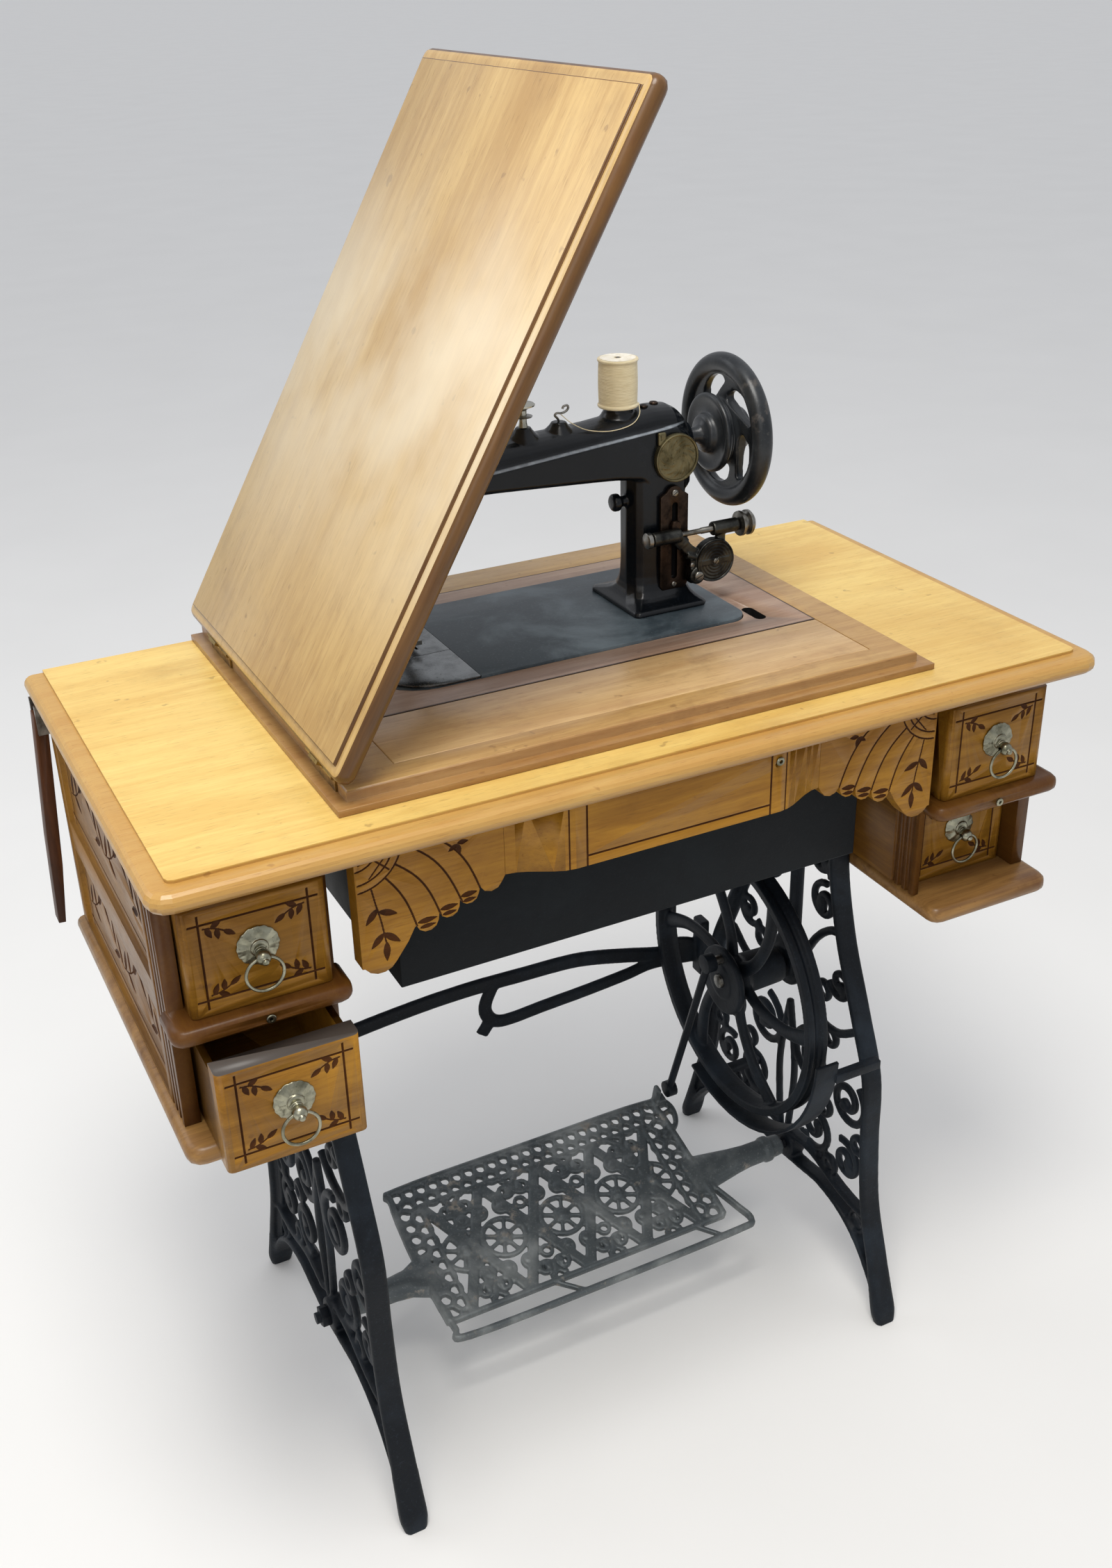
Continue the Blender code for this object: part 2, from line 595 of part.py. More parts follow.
def cross_brace():
    """Flat back brace: an arched upper bar, a lower bar at the right and a tail post."""
    y = (0.1620, 0.1700)
    end = FRAME_X - FLANGE / 2 - GAP
    upper = smooth_path([Vector(p) for p in ((-end, -0.487), (-0.200, -0.470), (-0.080, -0.455),
                                             (0.060, -0.447), (0.180, -0.456), (end, -0.487))], 3)
    lower = [Vector((-0.026, -0.500)), Vector((end, -0.500))]
    post = [Vector((-0.024, -0.456)), Vector((-0.025, -0.490)), Vector((-0.032, -0.535))]
    bars = [plate([ribbon(upper, 0.024)], y), plate([ribbon(lower, 0.019)], (y[0] + 0.0005, y[1] - 0.0005)),
            plate([ribbon(post, 0.018)], (y[0] + 0.001, y[1] - 0.001))]
    for s in (-1, 1):
        tall = block(span(s, end - 0.012, end), (0.150, 0.1705), (-0.535, -0.455))
        bars.append(tall)
    trimmed = block((-end, end), (0.1, 0.2), (-0.6, -0.4))
    brace = combine("INTERSECT", fuse(*bars), [trimmed])
    finish(brace, "cross_brace", "iron")


def wheel_axle():
    start, end = WHEEL_X - 0.024, 0.3030
    shaft = rod((start, WHEEL_Y, WHEEL_Z), (end, WHEEL_Y, WHEEL_Z), 0.0078, 16)
    nut = rod((0.2954, WHEEL_Y, WHEEL_Z), (0.3020, WHEEL_Y, WHEEL_Z), 0.0135, 6)
    finish(fuse(shaft, nut), "wheel_axle", "steel")


def drive_wheel():
    """Grooved wheel on curved spokes, with the crank pin on its hub plate."""
    centre = Vector((WHEEL_X, WHEEL_Y, WHEEL_Z))
    body("drive_wheel", centre)
    half, r = 0.012, WHEEL_R
    rim = turned(((r - 0.010, half), (r, half), (r, 0.004), (r - 0.004, 0.0), (r, -0.004), (r, -half),
                  (r - 0.010, -half), (r - 0.010, half)),
                 centre, (1, 0, 0), 40)
    pieces = [rim]
    for i in range(6):
        turn = math.tau * i / 6
        path = smooth_path([Vector((0.012, 0.0)), Vector((0.055, 0.012)), Vector((0.105, 0.010)),
                            Vector((r - 0.006, -0.006))], 2)
        bar = plate([ribbon(path, 0.016)], (WHEEL_X - 0.005, WHEEL_X + 0.005), "YZ")
        bar.data.transform(Matrix.Translation((0, WHEEL_Y, WHEEL_Z)) @ Matrix.Rotation(turn, 4, "X"))
        pieces.append(bar)
    pieces.append(rod((WHEEL_X - 0.021, WHEEL_Y, WHEEL_Z), (0.2700, WHEEL_Y, WHEEL_Z), 0.022, 18))
    pieces.append(rod((WHEEL_X - 0.020, WHEEL_Y, WHEEL_Z), (WHEEL_X - 0.013, WHEEL_Y, WHEEL_Z), 0.040, 22))
    pin_z = WHEEL_Z + CRANK_R
    pieces.append(rod((WHEEL_X - 0.030, WHEEL_Y, pin_z), (WHEEL_X - 0.018, WHEEL_Y, pin_z), 0.0055, 12))
    bore = rod((0.15, WHEEL_Y, WHEEL_Z), (0.32, WHEEL_Y, WHEEL_Z), 0.0084, 16)
    finish(cut(fuse(*pieces), bore), "drive_wheel", "iron", "drive_wheel")


def belt_guard():
    """Bent flat bar that keeps skirts off the lower front of the drive wheel."""
    points = arc((WHEEL_Y, WHEEL_Z), GUARD_R, 182, 292, 16)
    band = plate([ribbon(points, 0.004)], (WHEEL_X - 0.0145, WHEEL_X + 0.0125), "YZ")
    pieces = [band]
    for p in (points[1], points[-2]):
        pieces.append(block((WHEEL_X + 0.010, FRAME_X - WEB / 2 - GAP), (p.x - 0.005, p.x + 0.005),
                            (p.y - 0.005, p.y + 0.005)))
    finish(fuse(*pieces), "belt_guard", "iron")


def treadle():
    """Pierced foot plate in a bar frame, rocking on pointed pivots at its ends."""
    pivot = Vector((0, PIVOT_Y, PIVOT_Z))
    body("treadle", pivot)
    x0, x1, y0, y1 = -0.190, 0.188, -0.088, 0.118
    outer = rounded((x0, x1), (y0, y1), (0.010,) * 4, 2)
    inner = rounded((x0 + 0.011, x1 - 0.011), (y0 + 0.011, y1 - 0.011), (0.005,) * 4, 2)
    grille_x0, grille_x1, grille_y0 = x0 + 0.008, x1 - 0.034, y0 + 0.026
    grille = [rounded((grille_x0, grille_x1), (grille_y0, y1 - 0.008), (0.012,) * 4, 2)]
    columns, rows = 6, 3
    step_x = (grille_x1 - grille_x0 - 0.012) / columns
    step_y = (y1 - 0.008 - grille_y0 - 0.012) / rows
    for i in range(columns):
        for j in range(rows):
            centre = (grille_x0 + 0.006 + step_x * (i + 0.5), grille_y0 + 0.006 + step_y * (j + 0.5))
            grille.append(oval(centre, step_x * 0.38, step_y * 0.38, 8, 0.11 * (i + 2 * j) + 0.05))
    pieces = [plate([outer, inner], (-0.006, 0.008), "XY"), plate(grille, (-0.003, 0.003), "XY")]
    for s in (-1, 1):
        near = 0.180
        pieces.append(rod((s * near, 0, 0.001), (s * 0.2690, 0, 0), 0.015, 14, 0.012))
    pieces.append(block((x1 - 0.040, x1 - 0.004), (0.020, 0.112), (-0.002, 0.004)))
    pieces.append(block((0.158, 0.1720), (0.103, 0.117), (0.0, 0.030)))
    solid = fuse(*pieces)
    sockets = [rod((s * 0.2620, 0, 0), (s * 0.30, 0, 0), 0.0072, 12) for s in (-1, 1)]
    solid = cut(solid, *sockets)
    solid.data.transform(Matrix.Translation(pivot) @ Matrix.Rotation(TREADLE_TILT, 4, "X"))
    finish(solid, "treadle", "iron", "treadle")


def pitman():
    """Rod from the treadle up to the crank; its top eye stands clear of the crank pin."""
    turn = Matrix.Rotation(TREADLE_TILT, 4, "X")
    x = WHEEL_X - 0.0368
    low = Vector((x, PIVOT_Y, PIVOT_Z)) + turn @ Vector((0, 0.110, 0.0205))
    high = Vector((x, WHEEL_Y, WHEEL_Z + CRANK_R))
    body("pitman", low, "treadle")
    pieces = [tube((low, low.lerp(high, 0.5), high), 0.0045, 2)]
    for p, r in ((low, 0.010), (high, 0.011)):
        pieces.append(rod(p - Vector((0.0055, 0, 0)), p + Vector((0.0060, 0, 0)), r, 14))
    finish(fuse(*pieces), "pitman", "steel", "pitman")


# ---------------------------------------------------------------- machine head
def bed():
    plate_body = plate([bed_outline()], (BED_Z - BED_THICK, BED_Z), "XY")
    recess = block((-0.1740, -0.0935), (BED_Y0 - 0.02, 0.100), (BED_Z - 0.0024, BED_Z + 0.02))
    hook_hole = block((-0.160, -0.100), (0.020, 0.090), (-0.05, 0.05))
    finish(cut(plate_body, recess, hook_hole), "machine_bed", "japan_black")


def slide_plates():
    """Polished plates over the hook: the sliding one in front and the needle plate."""
    low, top = BED_Z - 0.0021, BED_Z
    outline = rounded((-0.1735, -0.0940), (BED_Y0 + 0.0004, 0.0330), (0.0445, 0.001, 0.001, 0.001), 5)
    front = plate([outline], (low, top), "XY")
    body("slide_plate", (-0.134, 0.0, top))
    finish(front, "slide_plate_front", "nickel", "slide_plate")
    base = block((-0.1735, -0.0940), (0.0336, 0.0994), (low, top))
    slot = block((NEEDLE_X - 0.003, NEEDLE_X + 0.003), (HEAD_Y - 0.003, HEAD_Y + 0.003), (low - 0.01, top + 0.01))
    feed = [block((NEEDLE_X - 0.007, NEEDLE_X - 0.0045), (HEAD_Y - 0.010, HEAD_Y + 0.008), (low - 0.01, top + 0.01)),
            block((NEEDLE_X + 0.0045, NEEDLE_X + 0.007), (HEAD_Y - 0.010, HEAD_Y + 0.008), (low - 0.01, top + 0.01))]
    finish(cut(base, slot, *feed), "needle_plate", "nickel")


def arm_casting():
    """Pillar with a flared foot, and the tapering arm that ends over the needle."""
    foot_z = BED_Z + GAP
    bm = bmesh.new()
    levels = ((0.0910, 0.1705, 0.0095, 0.1065, foot_z), (0.0925, 0.1690, 0.0110, 0.1050, foot_z + 0.004),
              (0.0955, 0.1600, 0.0230, 0.0930, foot_z + 0.011), (0.0970, 0.1550, ARM_Y0, ARM_Y1, foot_z + 0.022),
              (0.0970, 0.1550, ARM_Y0, ARM_Y1, 0.150))
    rings = []
    for x0, x1, y0, y1, z in levels:
        rings.append([bm.verts.new(c) for c in ((x0, y0, z), (x1, y0, z), (x1, y1, z), (x0, y1, z))])
    bm.faces.new(rings[0][::-1])
    for a, b in zip(rings, rings[1:]):
        for i in range(4):
            j = (i + 1) % 4
            bm.faces.new((a[i], a[j], b[j], b[i]))
    bm.faces.new(rings[-1])
    pillar_edges = [e for e in bm.edges if abs(e.verts[0].co.z - e.verts[1].co.z) > 0.05]
    bmesh.ops.bevel(bm, geom=pillar_edges, offset=0.009, segments=3, profile=0.5, affect="EDGES")
    pillar = from_bmesh(bm)
    x0, x1 = -0.155, 0.1680
    side = [Vector((x0, 0.1570)), Vector((x0 + 0.012, 0.1660)), Vector((-0.040, 0.1645)),
            Vector((0.060, 0.1545)), Vector((0.080, 0.1480)), Vector((0.092, 0.1330)),
            Vector((0.110, 0.1250)), Vector((x1 - 0.012, 0.1250)), Vector((x1 - 0.004, 0.1350)),
            Vector((x1, 0.1550)), Vector((x1, 0.1800)), Vector((x1 - 0.006, 0.1960)),
            Vector((x1 - 0.022, 0.2075)), Vector((x1 - 0.045, 0.2095)), Vector((0.090, 0.2040)),
            Vector((0.000, 0.1975)), Vector((-0.090, 0.1965)), Vector((x0 + 0.010, 0.1960)),
            Vector((x0, 0.1860))]
    arm = plate([side], (ARM_Y0, ARM_Y1))
    wedge = modifier_bevel(arm, 0.011, 3, 50)
    head = block((x0, -0.095), (ARM_Y0 + 0.001, ARM_Y1 - 0.001), (0.088, 0.170),
                 [(upright(x=-0.095), 0.008, 2)])
    knob = rod((0.0990, 0.047, 0.1150), (0.0840, 0.047, 0.1150), 0.0065, 12)
    seat = rod((SPOOL_X, SPOOL_Y, 0.198), (SPOOL_X, SPOOL_Y, SPOOL_Z), 0.0130, 16)
    pin = rod((SPOOL_X, SPOOL_Y, 0.202), (SPOOL_X, SPOOL_Y, SPOOL_Z + 0.0455), 0.0022, 10)
    whole = fuse(pillar, wedge, head, knob, seat, pin)
    bores = [rod((NEEDLE_X, HEAD_Y, 0.05), (NEEDLE_X, HEAD_Y, 0.185), 0.0046, 12),
             rod((NEEDLE_X, HEAD_Y + 0.018, 0.05), (NEEDLE_X, HEAD_Y + 0.018, 0.240), 0.0046, 12),
             rod((0.140, HEAD_Y, SHAFT_Z), (0.200, HEAD_Y, SHAFT_Z), 0.0082, 16),
             block((NEEDLE_X - 0.004, NEEDLE_X + 0.004), (0.0, ARM_Y0 + 0.012), (0.125, 0.192))]
    finish(cut(whole, *bores), "arm_casting", "japan_black", smooth=50)


def modifier_bevel(obj, width, segments, angle):
    bevel = obj.modifiers.new("Bevel", "BEVEL")
    bevel.width = width
    bevel.segments = segments
    bevel.limit_method = "ANGLE"
    bevel.angle_limit = math.radians(angle)
    bpy.context.view_layer.update()
    return bake(obj)


def face_plate():
    outline = rounded((ARM_Y0 + 0.004, ARM_Y1 - 0.004), (0.092, 0.192), (0.004, 0.004, 0.010, 0.010), 3)
    board = plate([outline], (-0.1578, -0.1553), "YZ")
    screws = [rod((-0.1595, y, z), (-0.1570, y, z), 0.0042, 10)
              for y, z in ((HEAD_Y, 0.180), (HEAD_Y, 0.101))]
    finish(fuse(board, *screws), "face_plate", "nickel")


def needle_works():
    body("needle_bar", (NEEDLE_X, HEAD_Y, 0.12))
    bar = rod((NEEDLE_X, HEAD_Y, 0.056), (NEEDLE_X, HEAD_Y, 0.165), 0.0036, 12)
    clamp = rod((NEEDLE_X, HEAD_Y, 0.054), (NEEDLE_X, HEAD_Y, 0.064), 0.0055, 12)
    needle = rod((NEEDLE_X, HEAD_Y, 0.0195), (NEEDLE_X, HEAD_Y, 0.055), 0.0008, 6, 0.0010)
    screw = rod((NEEDLE_X + 0.003, HEAD_Y, 0.059), (NEEDLE_X + 0.013, HEAD_Y, 0.059), 0.0028, 8)
    finish(fuse(bar, clamp, needle, screw), "needle_bar", "steel", "needle_bar")
    y = HEAD_Y + 0.018
    body("presser_bar", (NEEDLE_X, y, 0.12))
    bar = rod((NEEDLE_X, y, 0.040), (NEEDLE_X, y, 0.240), 0.0036, 12)
    shank = block((NEEDLE_X - 0.004, NEEDLE_X + 0.004), (y - 0.006, y + 0.005), (0.026, 0.052))
    toes = [block((NEEDLE_X + a, NEEDLE_X + b), (HEAD_Y - 0.016, y + 0.004), (0.0245, 0.0285))
            for a, b in ((-0.0085, -0.0025), (0.0025, 0.0085))]
    heel = block((NEEDLE_X - 0.0085, NEEDLE_X + 0.0085), (y - 0.008, y + 0.0045), (0.0243, 0.0290))
    finish(fuse(bar, shank, heel, *toes), "presser_foot", "steel", "presser_bar")
    sleeve = rod((NEEDLE_X, y, 0.1975), (NEEDLE_X, y, 0.2500), 0.0058, 12)
    knob = rod((NEEDLE_X, y, 0.2430), (NEEDLE_X, y, 0.2629), 0.0070, 16)
    bore = rod((NEEDLE_X, y, 0.19), (NEEDLE_X, y, 0.2520), 0.0044, 12)
    finish(cut(fuse(sleeve, knob), bore), "presser_screw", "nickel")


def take_up_lever():
    pivot = (NEEDLE_X, ARM_Y0 + 0.008, 0.1580)
    body("take_up_lever", pivot)
    x = (NEEDLE_X - 0.0015, NEEDLE_X + 0.0015)
    path = [Vector((pivot[1], pivot[2])), Vector((0.030, 0.162)), Vector((0.014, 0.174)), Vector((0.006, 0.186))]
    lever = plate([ribbon(smooth_path(path, 2), 0.006)], x, "YZ")
    eye = rod((x[0] - 0.001, 0.006, 0.186), (x[1] + 0.001, 0.006, 0.186), 0.0045, 12)
    hole = rod((x[0] - 0.01, 0.006, 0.186), (x[1] + 0.01, 0.006, 0.186), 0.0018, 8)
    finish(cut(fuse(lever, eye), hole), "take_up_lever", "steel", "take_up_lever")


def thread_parts():
    """Spool, thread guide, thread nipper and tension discs."""
    low = SPOOL_Z + GAP
    body("spool", (SPOOL_X, SPOOL_Y, low))
    profile = ((0.0029, 0.0470), (0.0203, 0.0470), (0.0203, 0.0450), (0.0192, 0.0440),
               (0.0192, 0.0030), (0.0203, 0.0020), (0.0203, 0.0), (0.0029, 0.0))
    reel = turned(profile, (SPOOL_X, SPOOL_Y, low), (0, 0, 1), 20, closed=True)
    finish(reel, "thread_spool", "thread", "spool")
    guide_x = 0.036
    stem = rod((guide_x, HEAD_Y, 0.2015), (guide_x, HEAD_Y, 0.2130), 0.0085, 12, 0.0050)
    hook = tube(((guide_x, HEAD_Y, 0.2120), (guide_x - 0.006, HEAD_Y - 0.002, 0.2190),
                 (guide_x, HEAD_Y - 0.003, 0.2270), (guide_x + 0.007, HEAD_Y - 0.002, 0.2265)), 0.0012, 1)
    finish(fuse(stem, hook), "thread_guide", "steel")
    nip_x = 0.000
    post = rod((nip_x, HEAD_Y, 0.1990), (nip_x, HEAD_Y, 0.2265), 0.0042, 12)
    skirt = rod((nip_x, HEAD_Y, 0.1990), (nip_x, HEAD_Y, 0.2040), 0.0095, 14, 0.0060)
    cap = rod((nip_x, HEAD_Y, 0.2260), (nip_x, HEAD_Y, 0.2300), 0.0110, 16)
    finish(fuse(skirt, post, cap), "thread_nipper", "brass")
    y = ARM_Y0 - GAP
    discs = turned(((0.0, 0.0240), (0.0075, 0.0240), (0.0080, 0.0160), (0.0040, 0.0150),
                    (0.0040, 0.0080), (0.0150, 0.0060), (0.0120, 0.0030), (0.0150, 0.0),
                    (0.0, 0.0)), (-0.1090, y, 0.128), (0, -1, 0), 16)
    finish(discs, "thread_tension", "nickel")


def badge_and_regulator():
    """Round badge on the arm's corner, and the slotted stitch plate under it."""
    y = ARM_Y0 - GAP
    disc = turned(((0.0, 0.0042), (0.0200, 0.0042), (0.0215, 0.0052), (0.0245, 0.0052),
                   (0.0255, 0.0035), (0.0255, 0.0), (0.0, 0.0)),
                  (0.1440, y, 0.1635), (0, -1, 0), 24)
    lug = block((0.1205, 0.1330), (y - 0.0036, y), (0.1760, 0.1905))
    finish(fuse(disc, lug), "badge", "brass")
    outline = rounded((0.1255, 0.1540), (0.0540, 0.1300), (0.002,) * 4, 1)
    slots = [rounded((0.1370, 0.1425), (0.0960, 0.1180), (0.002,) * 4, 1)]
    board = plate([outline] + slots, (y - 0.0030, y))
    tab = block((0.1330, 0.1470), (y - 0.0030, y), (0.1290, 0.1345))
    screw = rod((0.1400, y - 0.0060, 0.1275), (0.1400, y - 0.0020, 0.1275), 0.0035, 10)
    finish(fuse(board, tab, screw), "stitch_plate", "brown_steel")


def bobbin_winder():
    """Swinging winder: a cranked bracket with its counter disc, and the spindle in it."""
    axis = (0.1380, ARM_Y0 - 0.0040, 0.0450)
    body("bobbin_winder", (axis[0], axis[1], axis[2]))
    y0, y1 = 0.0120, ARM_Y0 - 0.0040
    arm = plate([[(0.1285, 0.0395), (0.1560, 0.0395), (0.1660, 0.0500), (0.1640, 0.0760),
                  (0.1560, 0.0900), (0.1290, 0.0900)]], (y0 + 0.004, y1 - 0.0004))
    disc = rod((0.1800, y0 - 0.001, 0.0600), (0.1800, y1 - 0.002, 0.0600), 0.0215, 24)
    bridge = block((0.1560, 0.1700), (y0 + 0.006, y1 - 0.001), (0.0460, 0.0640))
    rail = tube(((0.1540, 0.0200, 0.0840), (0.1640, 0.0200, 0.0760), (0.1760, 0.0200, 0.0730)), 0.0042, 2)
    left_bearing = rod((0.1130, 0.0200, 0.0905), (0.1440, 0.0200, 0.0905), 0.0068, 14)
    right_bearing = rod((0.1790, 0.0200, 0.0905), (0.2080, 0.0200, 0.0905), 0.0068, 14)
    web = block((0.1830, 0.1960), (0.0165, 0.0235), (0.0700, 0.0880))
    bore = rod((0.1, 0.0200, 0.0905), (0.25, 0.0200, 0.0905), 0.0036, 12)
    solid = cut(fuse(arm, disc, bridge, rail, left_bearing, right_bearing, web), bore)
    finish(solid, "bobbin_winder", "bronze", "bobbin_winder")
    body("winder_spindle", (0.1600, 0.0200, 0.0905), "bobbin_winder")
    spindle = rod((0.1060, 0.0200, 0.0905), (0.2140, 0.0200, 0.0905), 0.0031, 12)
    cap = rod((0.1060, 0.0200, 0.0905), (0.1125, 0.0200, 0.0905), 0.0075, 12)
    pulley = turned(((0.0, 0.0150), (0.0120, 0.0150), (0.0120, 0.0110), (0.0085, 0.0085),
                     (0.0120, 0.0050), (0.0120, 0.0), (0.0, 0.0)),
                    (0.2085, 0.0200, 0.0905), (1, 0, 0), 18)
    finish(fuse(spindle, cap, pulley), "winder_spindle", "steel", "winder_spindle")


def handwheel():
    """Round-rimmed wheel with five spokes, and the flanged belt pulley on its shaft."""
    centre = Vector((HAND_X, HEAD_Y, SHAFT_Z))
    body("handwheel", centre)
    minor = 0.0098
    pieces = [torus(centre, (1, 0, 0), HAND_R - minor, minor, 30, 8)]
    for i in range(5):
        turn = math.radians(97 + 72 * i)
        path = smooth_path([Vector((0.018, 0.002)), Vector((0.036, -0.003)), Vector((0.058, 0.002))], 3)
        bar = plate([ribbon(path, 0.012)], (-0.0045, 0.0045), "YZ")
        bar.data.transform(Matrix.Translation(centre) @ Matrix.Rotation(turn, 4, "X"))
        pieces.append(bar)
    pieces.append(rod((0.2062, HEAD_Y, SHAFT_Z), (0.2270, HEAD_Y, SHAFT_Z), 0.0245, 24))
    pieces.append(rod((0.2260, HEAD_Y, SHAFT_Z), (0.2340, HEAD_Y, SHAFT_Z), 0.0160, 16))
    finish(fuse(*pieces), "handwheel", "worn_black", "handwheel")
    profile = ((0.0, 0.0200), (0.0370, 0.0200), (0.0375, 0.0165), (0.0260, 0.0130), (0.0250, 0.0100),
               (0.0255, 0.0030), (0.0235, 0.0), (0.0, 0.0))
    pulley = turned(profile, (0.1858, HEAD_Y, SHAFT_Z), (1, 0, 0), 24)
    shaft = rod((0.1450, HEAD_Y, SHAFT_Z), (0.2050, HEAD_Y, SHAFT_Z), 0.0075, 16)
    finish(fuse(pulley, shaft), "belt_pulley", "worn_black", "handwheel")


def make_materials():
    material("maple", (0.62, 0.40, 0.16), 0.38)
    material("drawer_wood", (0.55, 0.33, 0.11), 0.40)
    material("dark_wood", (0.16, 0.08, 0.03), 0.55)
    material("red_board", (0.42, 0.24, 0.15), 0.50)
    material("iron", (0.055, 0.065, 0.080), 0.55, 0.6)
    material("japan_black", (0.018, 0.020, 0.024), 0.22)
    material("worn_black", (0.07, 0.07, 0.075), 0.35, 0.5)
    material("steel", (0.42, 0.42, 0.41), 0.35, 1.0)
    material("brown_steel", (0.13, 0.09, 0.07), 0.45, 0.8)
    material("bronze", (0.23, 0.21, 0.18), 0.42, 0.9)
    material("nickel", (0.60, 0.58, 0.53), 0.28, 1.0)
    material("brass", (0.50, 0.40, 0.18), 0.35, 1.0)
    material("thread", (0.80, 0.70, 0.45), 0.85)
    material("tin", (0.05, 0.07, 0.08), 0.50, 0.3)


def build():
    clear_scene()
    make_materials()
    table_top()
    raised_rim()
    machine_board()
    front_flap()
    for name, sign in sides():
        pedestal_case(name, sign)
        base_shelf(name, sign)
        bracket(name, sign)
    drawer("left_upper", -1, UPPER_Z, 0.0)
    drawer("left_lower", -1, LOWER_Z, -PULLED_OUT)
    drawer("right_upper", 1, UPPER_Z, 0.0)
    drawer("right_lower", 1, LOWER_Z, PUSHED_IN)
    centre_apron()
    dust_box()
    leaf_support()
    lid()
    for name, sign in sides():
        side_frame(name, sign)
        treadle_pivot(name, sign)
    cross_brace()
    wheel_axle()
    drive_wheel()
    belt_guard()
    treadle()
    pitman()
    bed()
    slide_plates()
    arm_casting()
    face_plate()
    needle_works()
    take_up_lever()
    thread_parts()
    badge_and_regulator()
    bobbin_winder()
    handwheel()
    for obj in parts.objects:
        if obj.parent is None:
            obj.location += SHIFT + Vector((0, 0, TOP))


build()
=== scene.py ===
"""Looks of the treadle sewing machine: materials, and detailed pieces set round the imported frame."""
import math
from contextlib import contextmanager

import bmesh
import bpy
import numpy as np
from mathutils import Matrix, Vector


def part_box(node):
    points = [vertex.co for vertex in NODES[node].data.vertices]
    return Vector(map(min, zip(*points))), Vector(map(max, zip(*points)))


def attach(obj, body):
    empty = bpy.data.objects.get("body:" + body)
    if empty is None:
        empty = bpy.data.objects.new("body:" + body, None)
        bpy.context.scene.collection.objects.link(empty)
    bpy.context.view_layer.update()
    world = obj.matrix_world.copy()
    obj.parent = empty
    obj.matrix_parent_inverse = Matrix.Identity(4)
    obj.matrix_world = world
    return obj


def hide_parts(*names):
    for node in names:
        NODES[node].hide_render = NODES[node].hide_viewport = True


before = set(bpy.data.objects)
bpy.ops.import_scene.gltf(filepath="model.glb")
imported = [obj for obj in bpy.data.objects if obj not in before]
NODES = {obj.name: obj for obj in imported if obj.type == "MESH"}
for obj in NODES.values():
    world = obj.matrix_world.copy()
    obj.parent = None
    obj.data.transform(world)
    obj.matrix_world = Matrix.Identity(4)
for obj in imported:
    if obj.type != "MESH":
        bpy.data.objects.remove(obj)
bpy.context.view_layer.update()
TABLE_HEIGHT = 0.790
ORIGIN = Vector((0.00676, 0.02445, TABLE_HEIGHT))   # middle of the flat table top, in the row frame

# places in the table's own frame, which has its zero in the middle of the flat table top
FRAME_X = 0.285
PIVOT_Y, PIVOT_Z = -0.018, -0.674
TREADLE_TILT = math.radians(14)
WHEEL = Vector((0.215, 0.005, -0.430))
WHEEL_R = 0.158
HAND = Vector((0.2165, 0.058, 0.173))
HAND_R = 0.0735
BRACKET_Y = -0.206
HEAD_Y = 0.058
ARM_Y0, ARM_Y1 = 0.031, 0.085
RIGHT, FORWARD, UP = (1, 0, 0), (0, -1, 0), (0, 0, 1)
# each drawer's name, its side, and where its front and lower edge are
FRONTS = (("left_upper", -1, -0.200, -0.1385), ("left_lower", -1, -0.252, -0.2520),
          ("right_upper", 1, -0.200, -0.1385), ("right_lower", 1, -0.160, -0.2520))


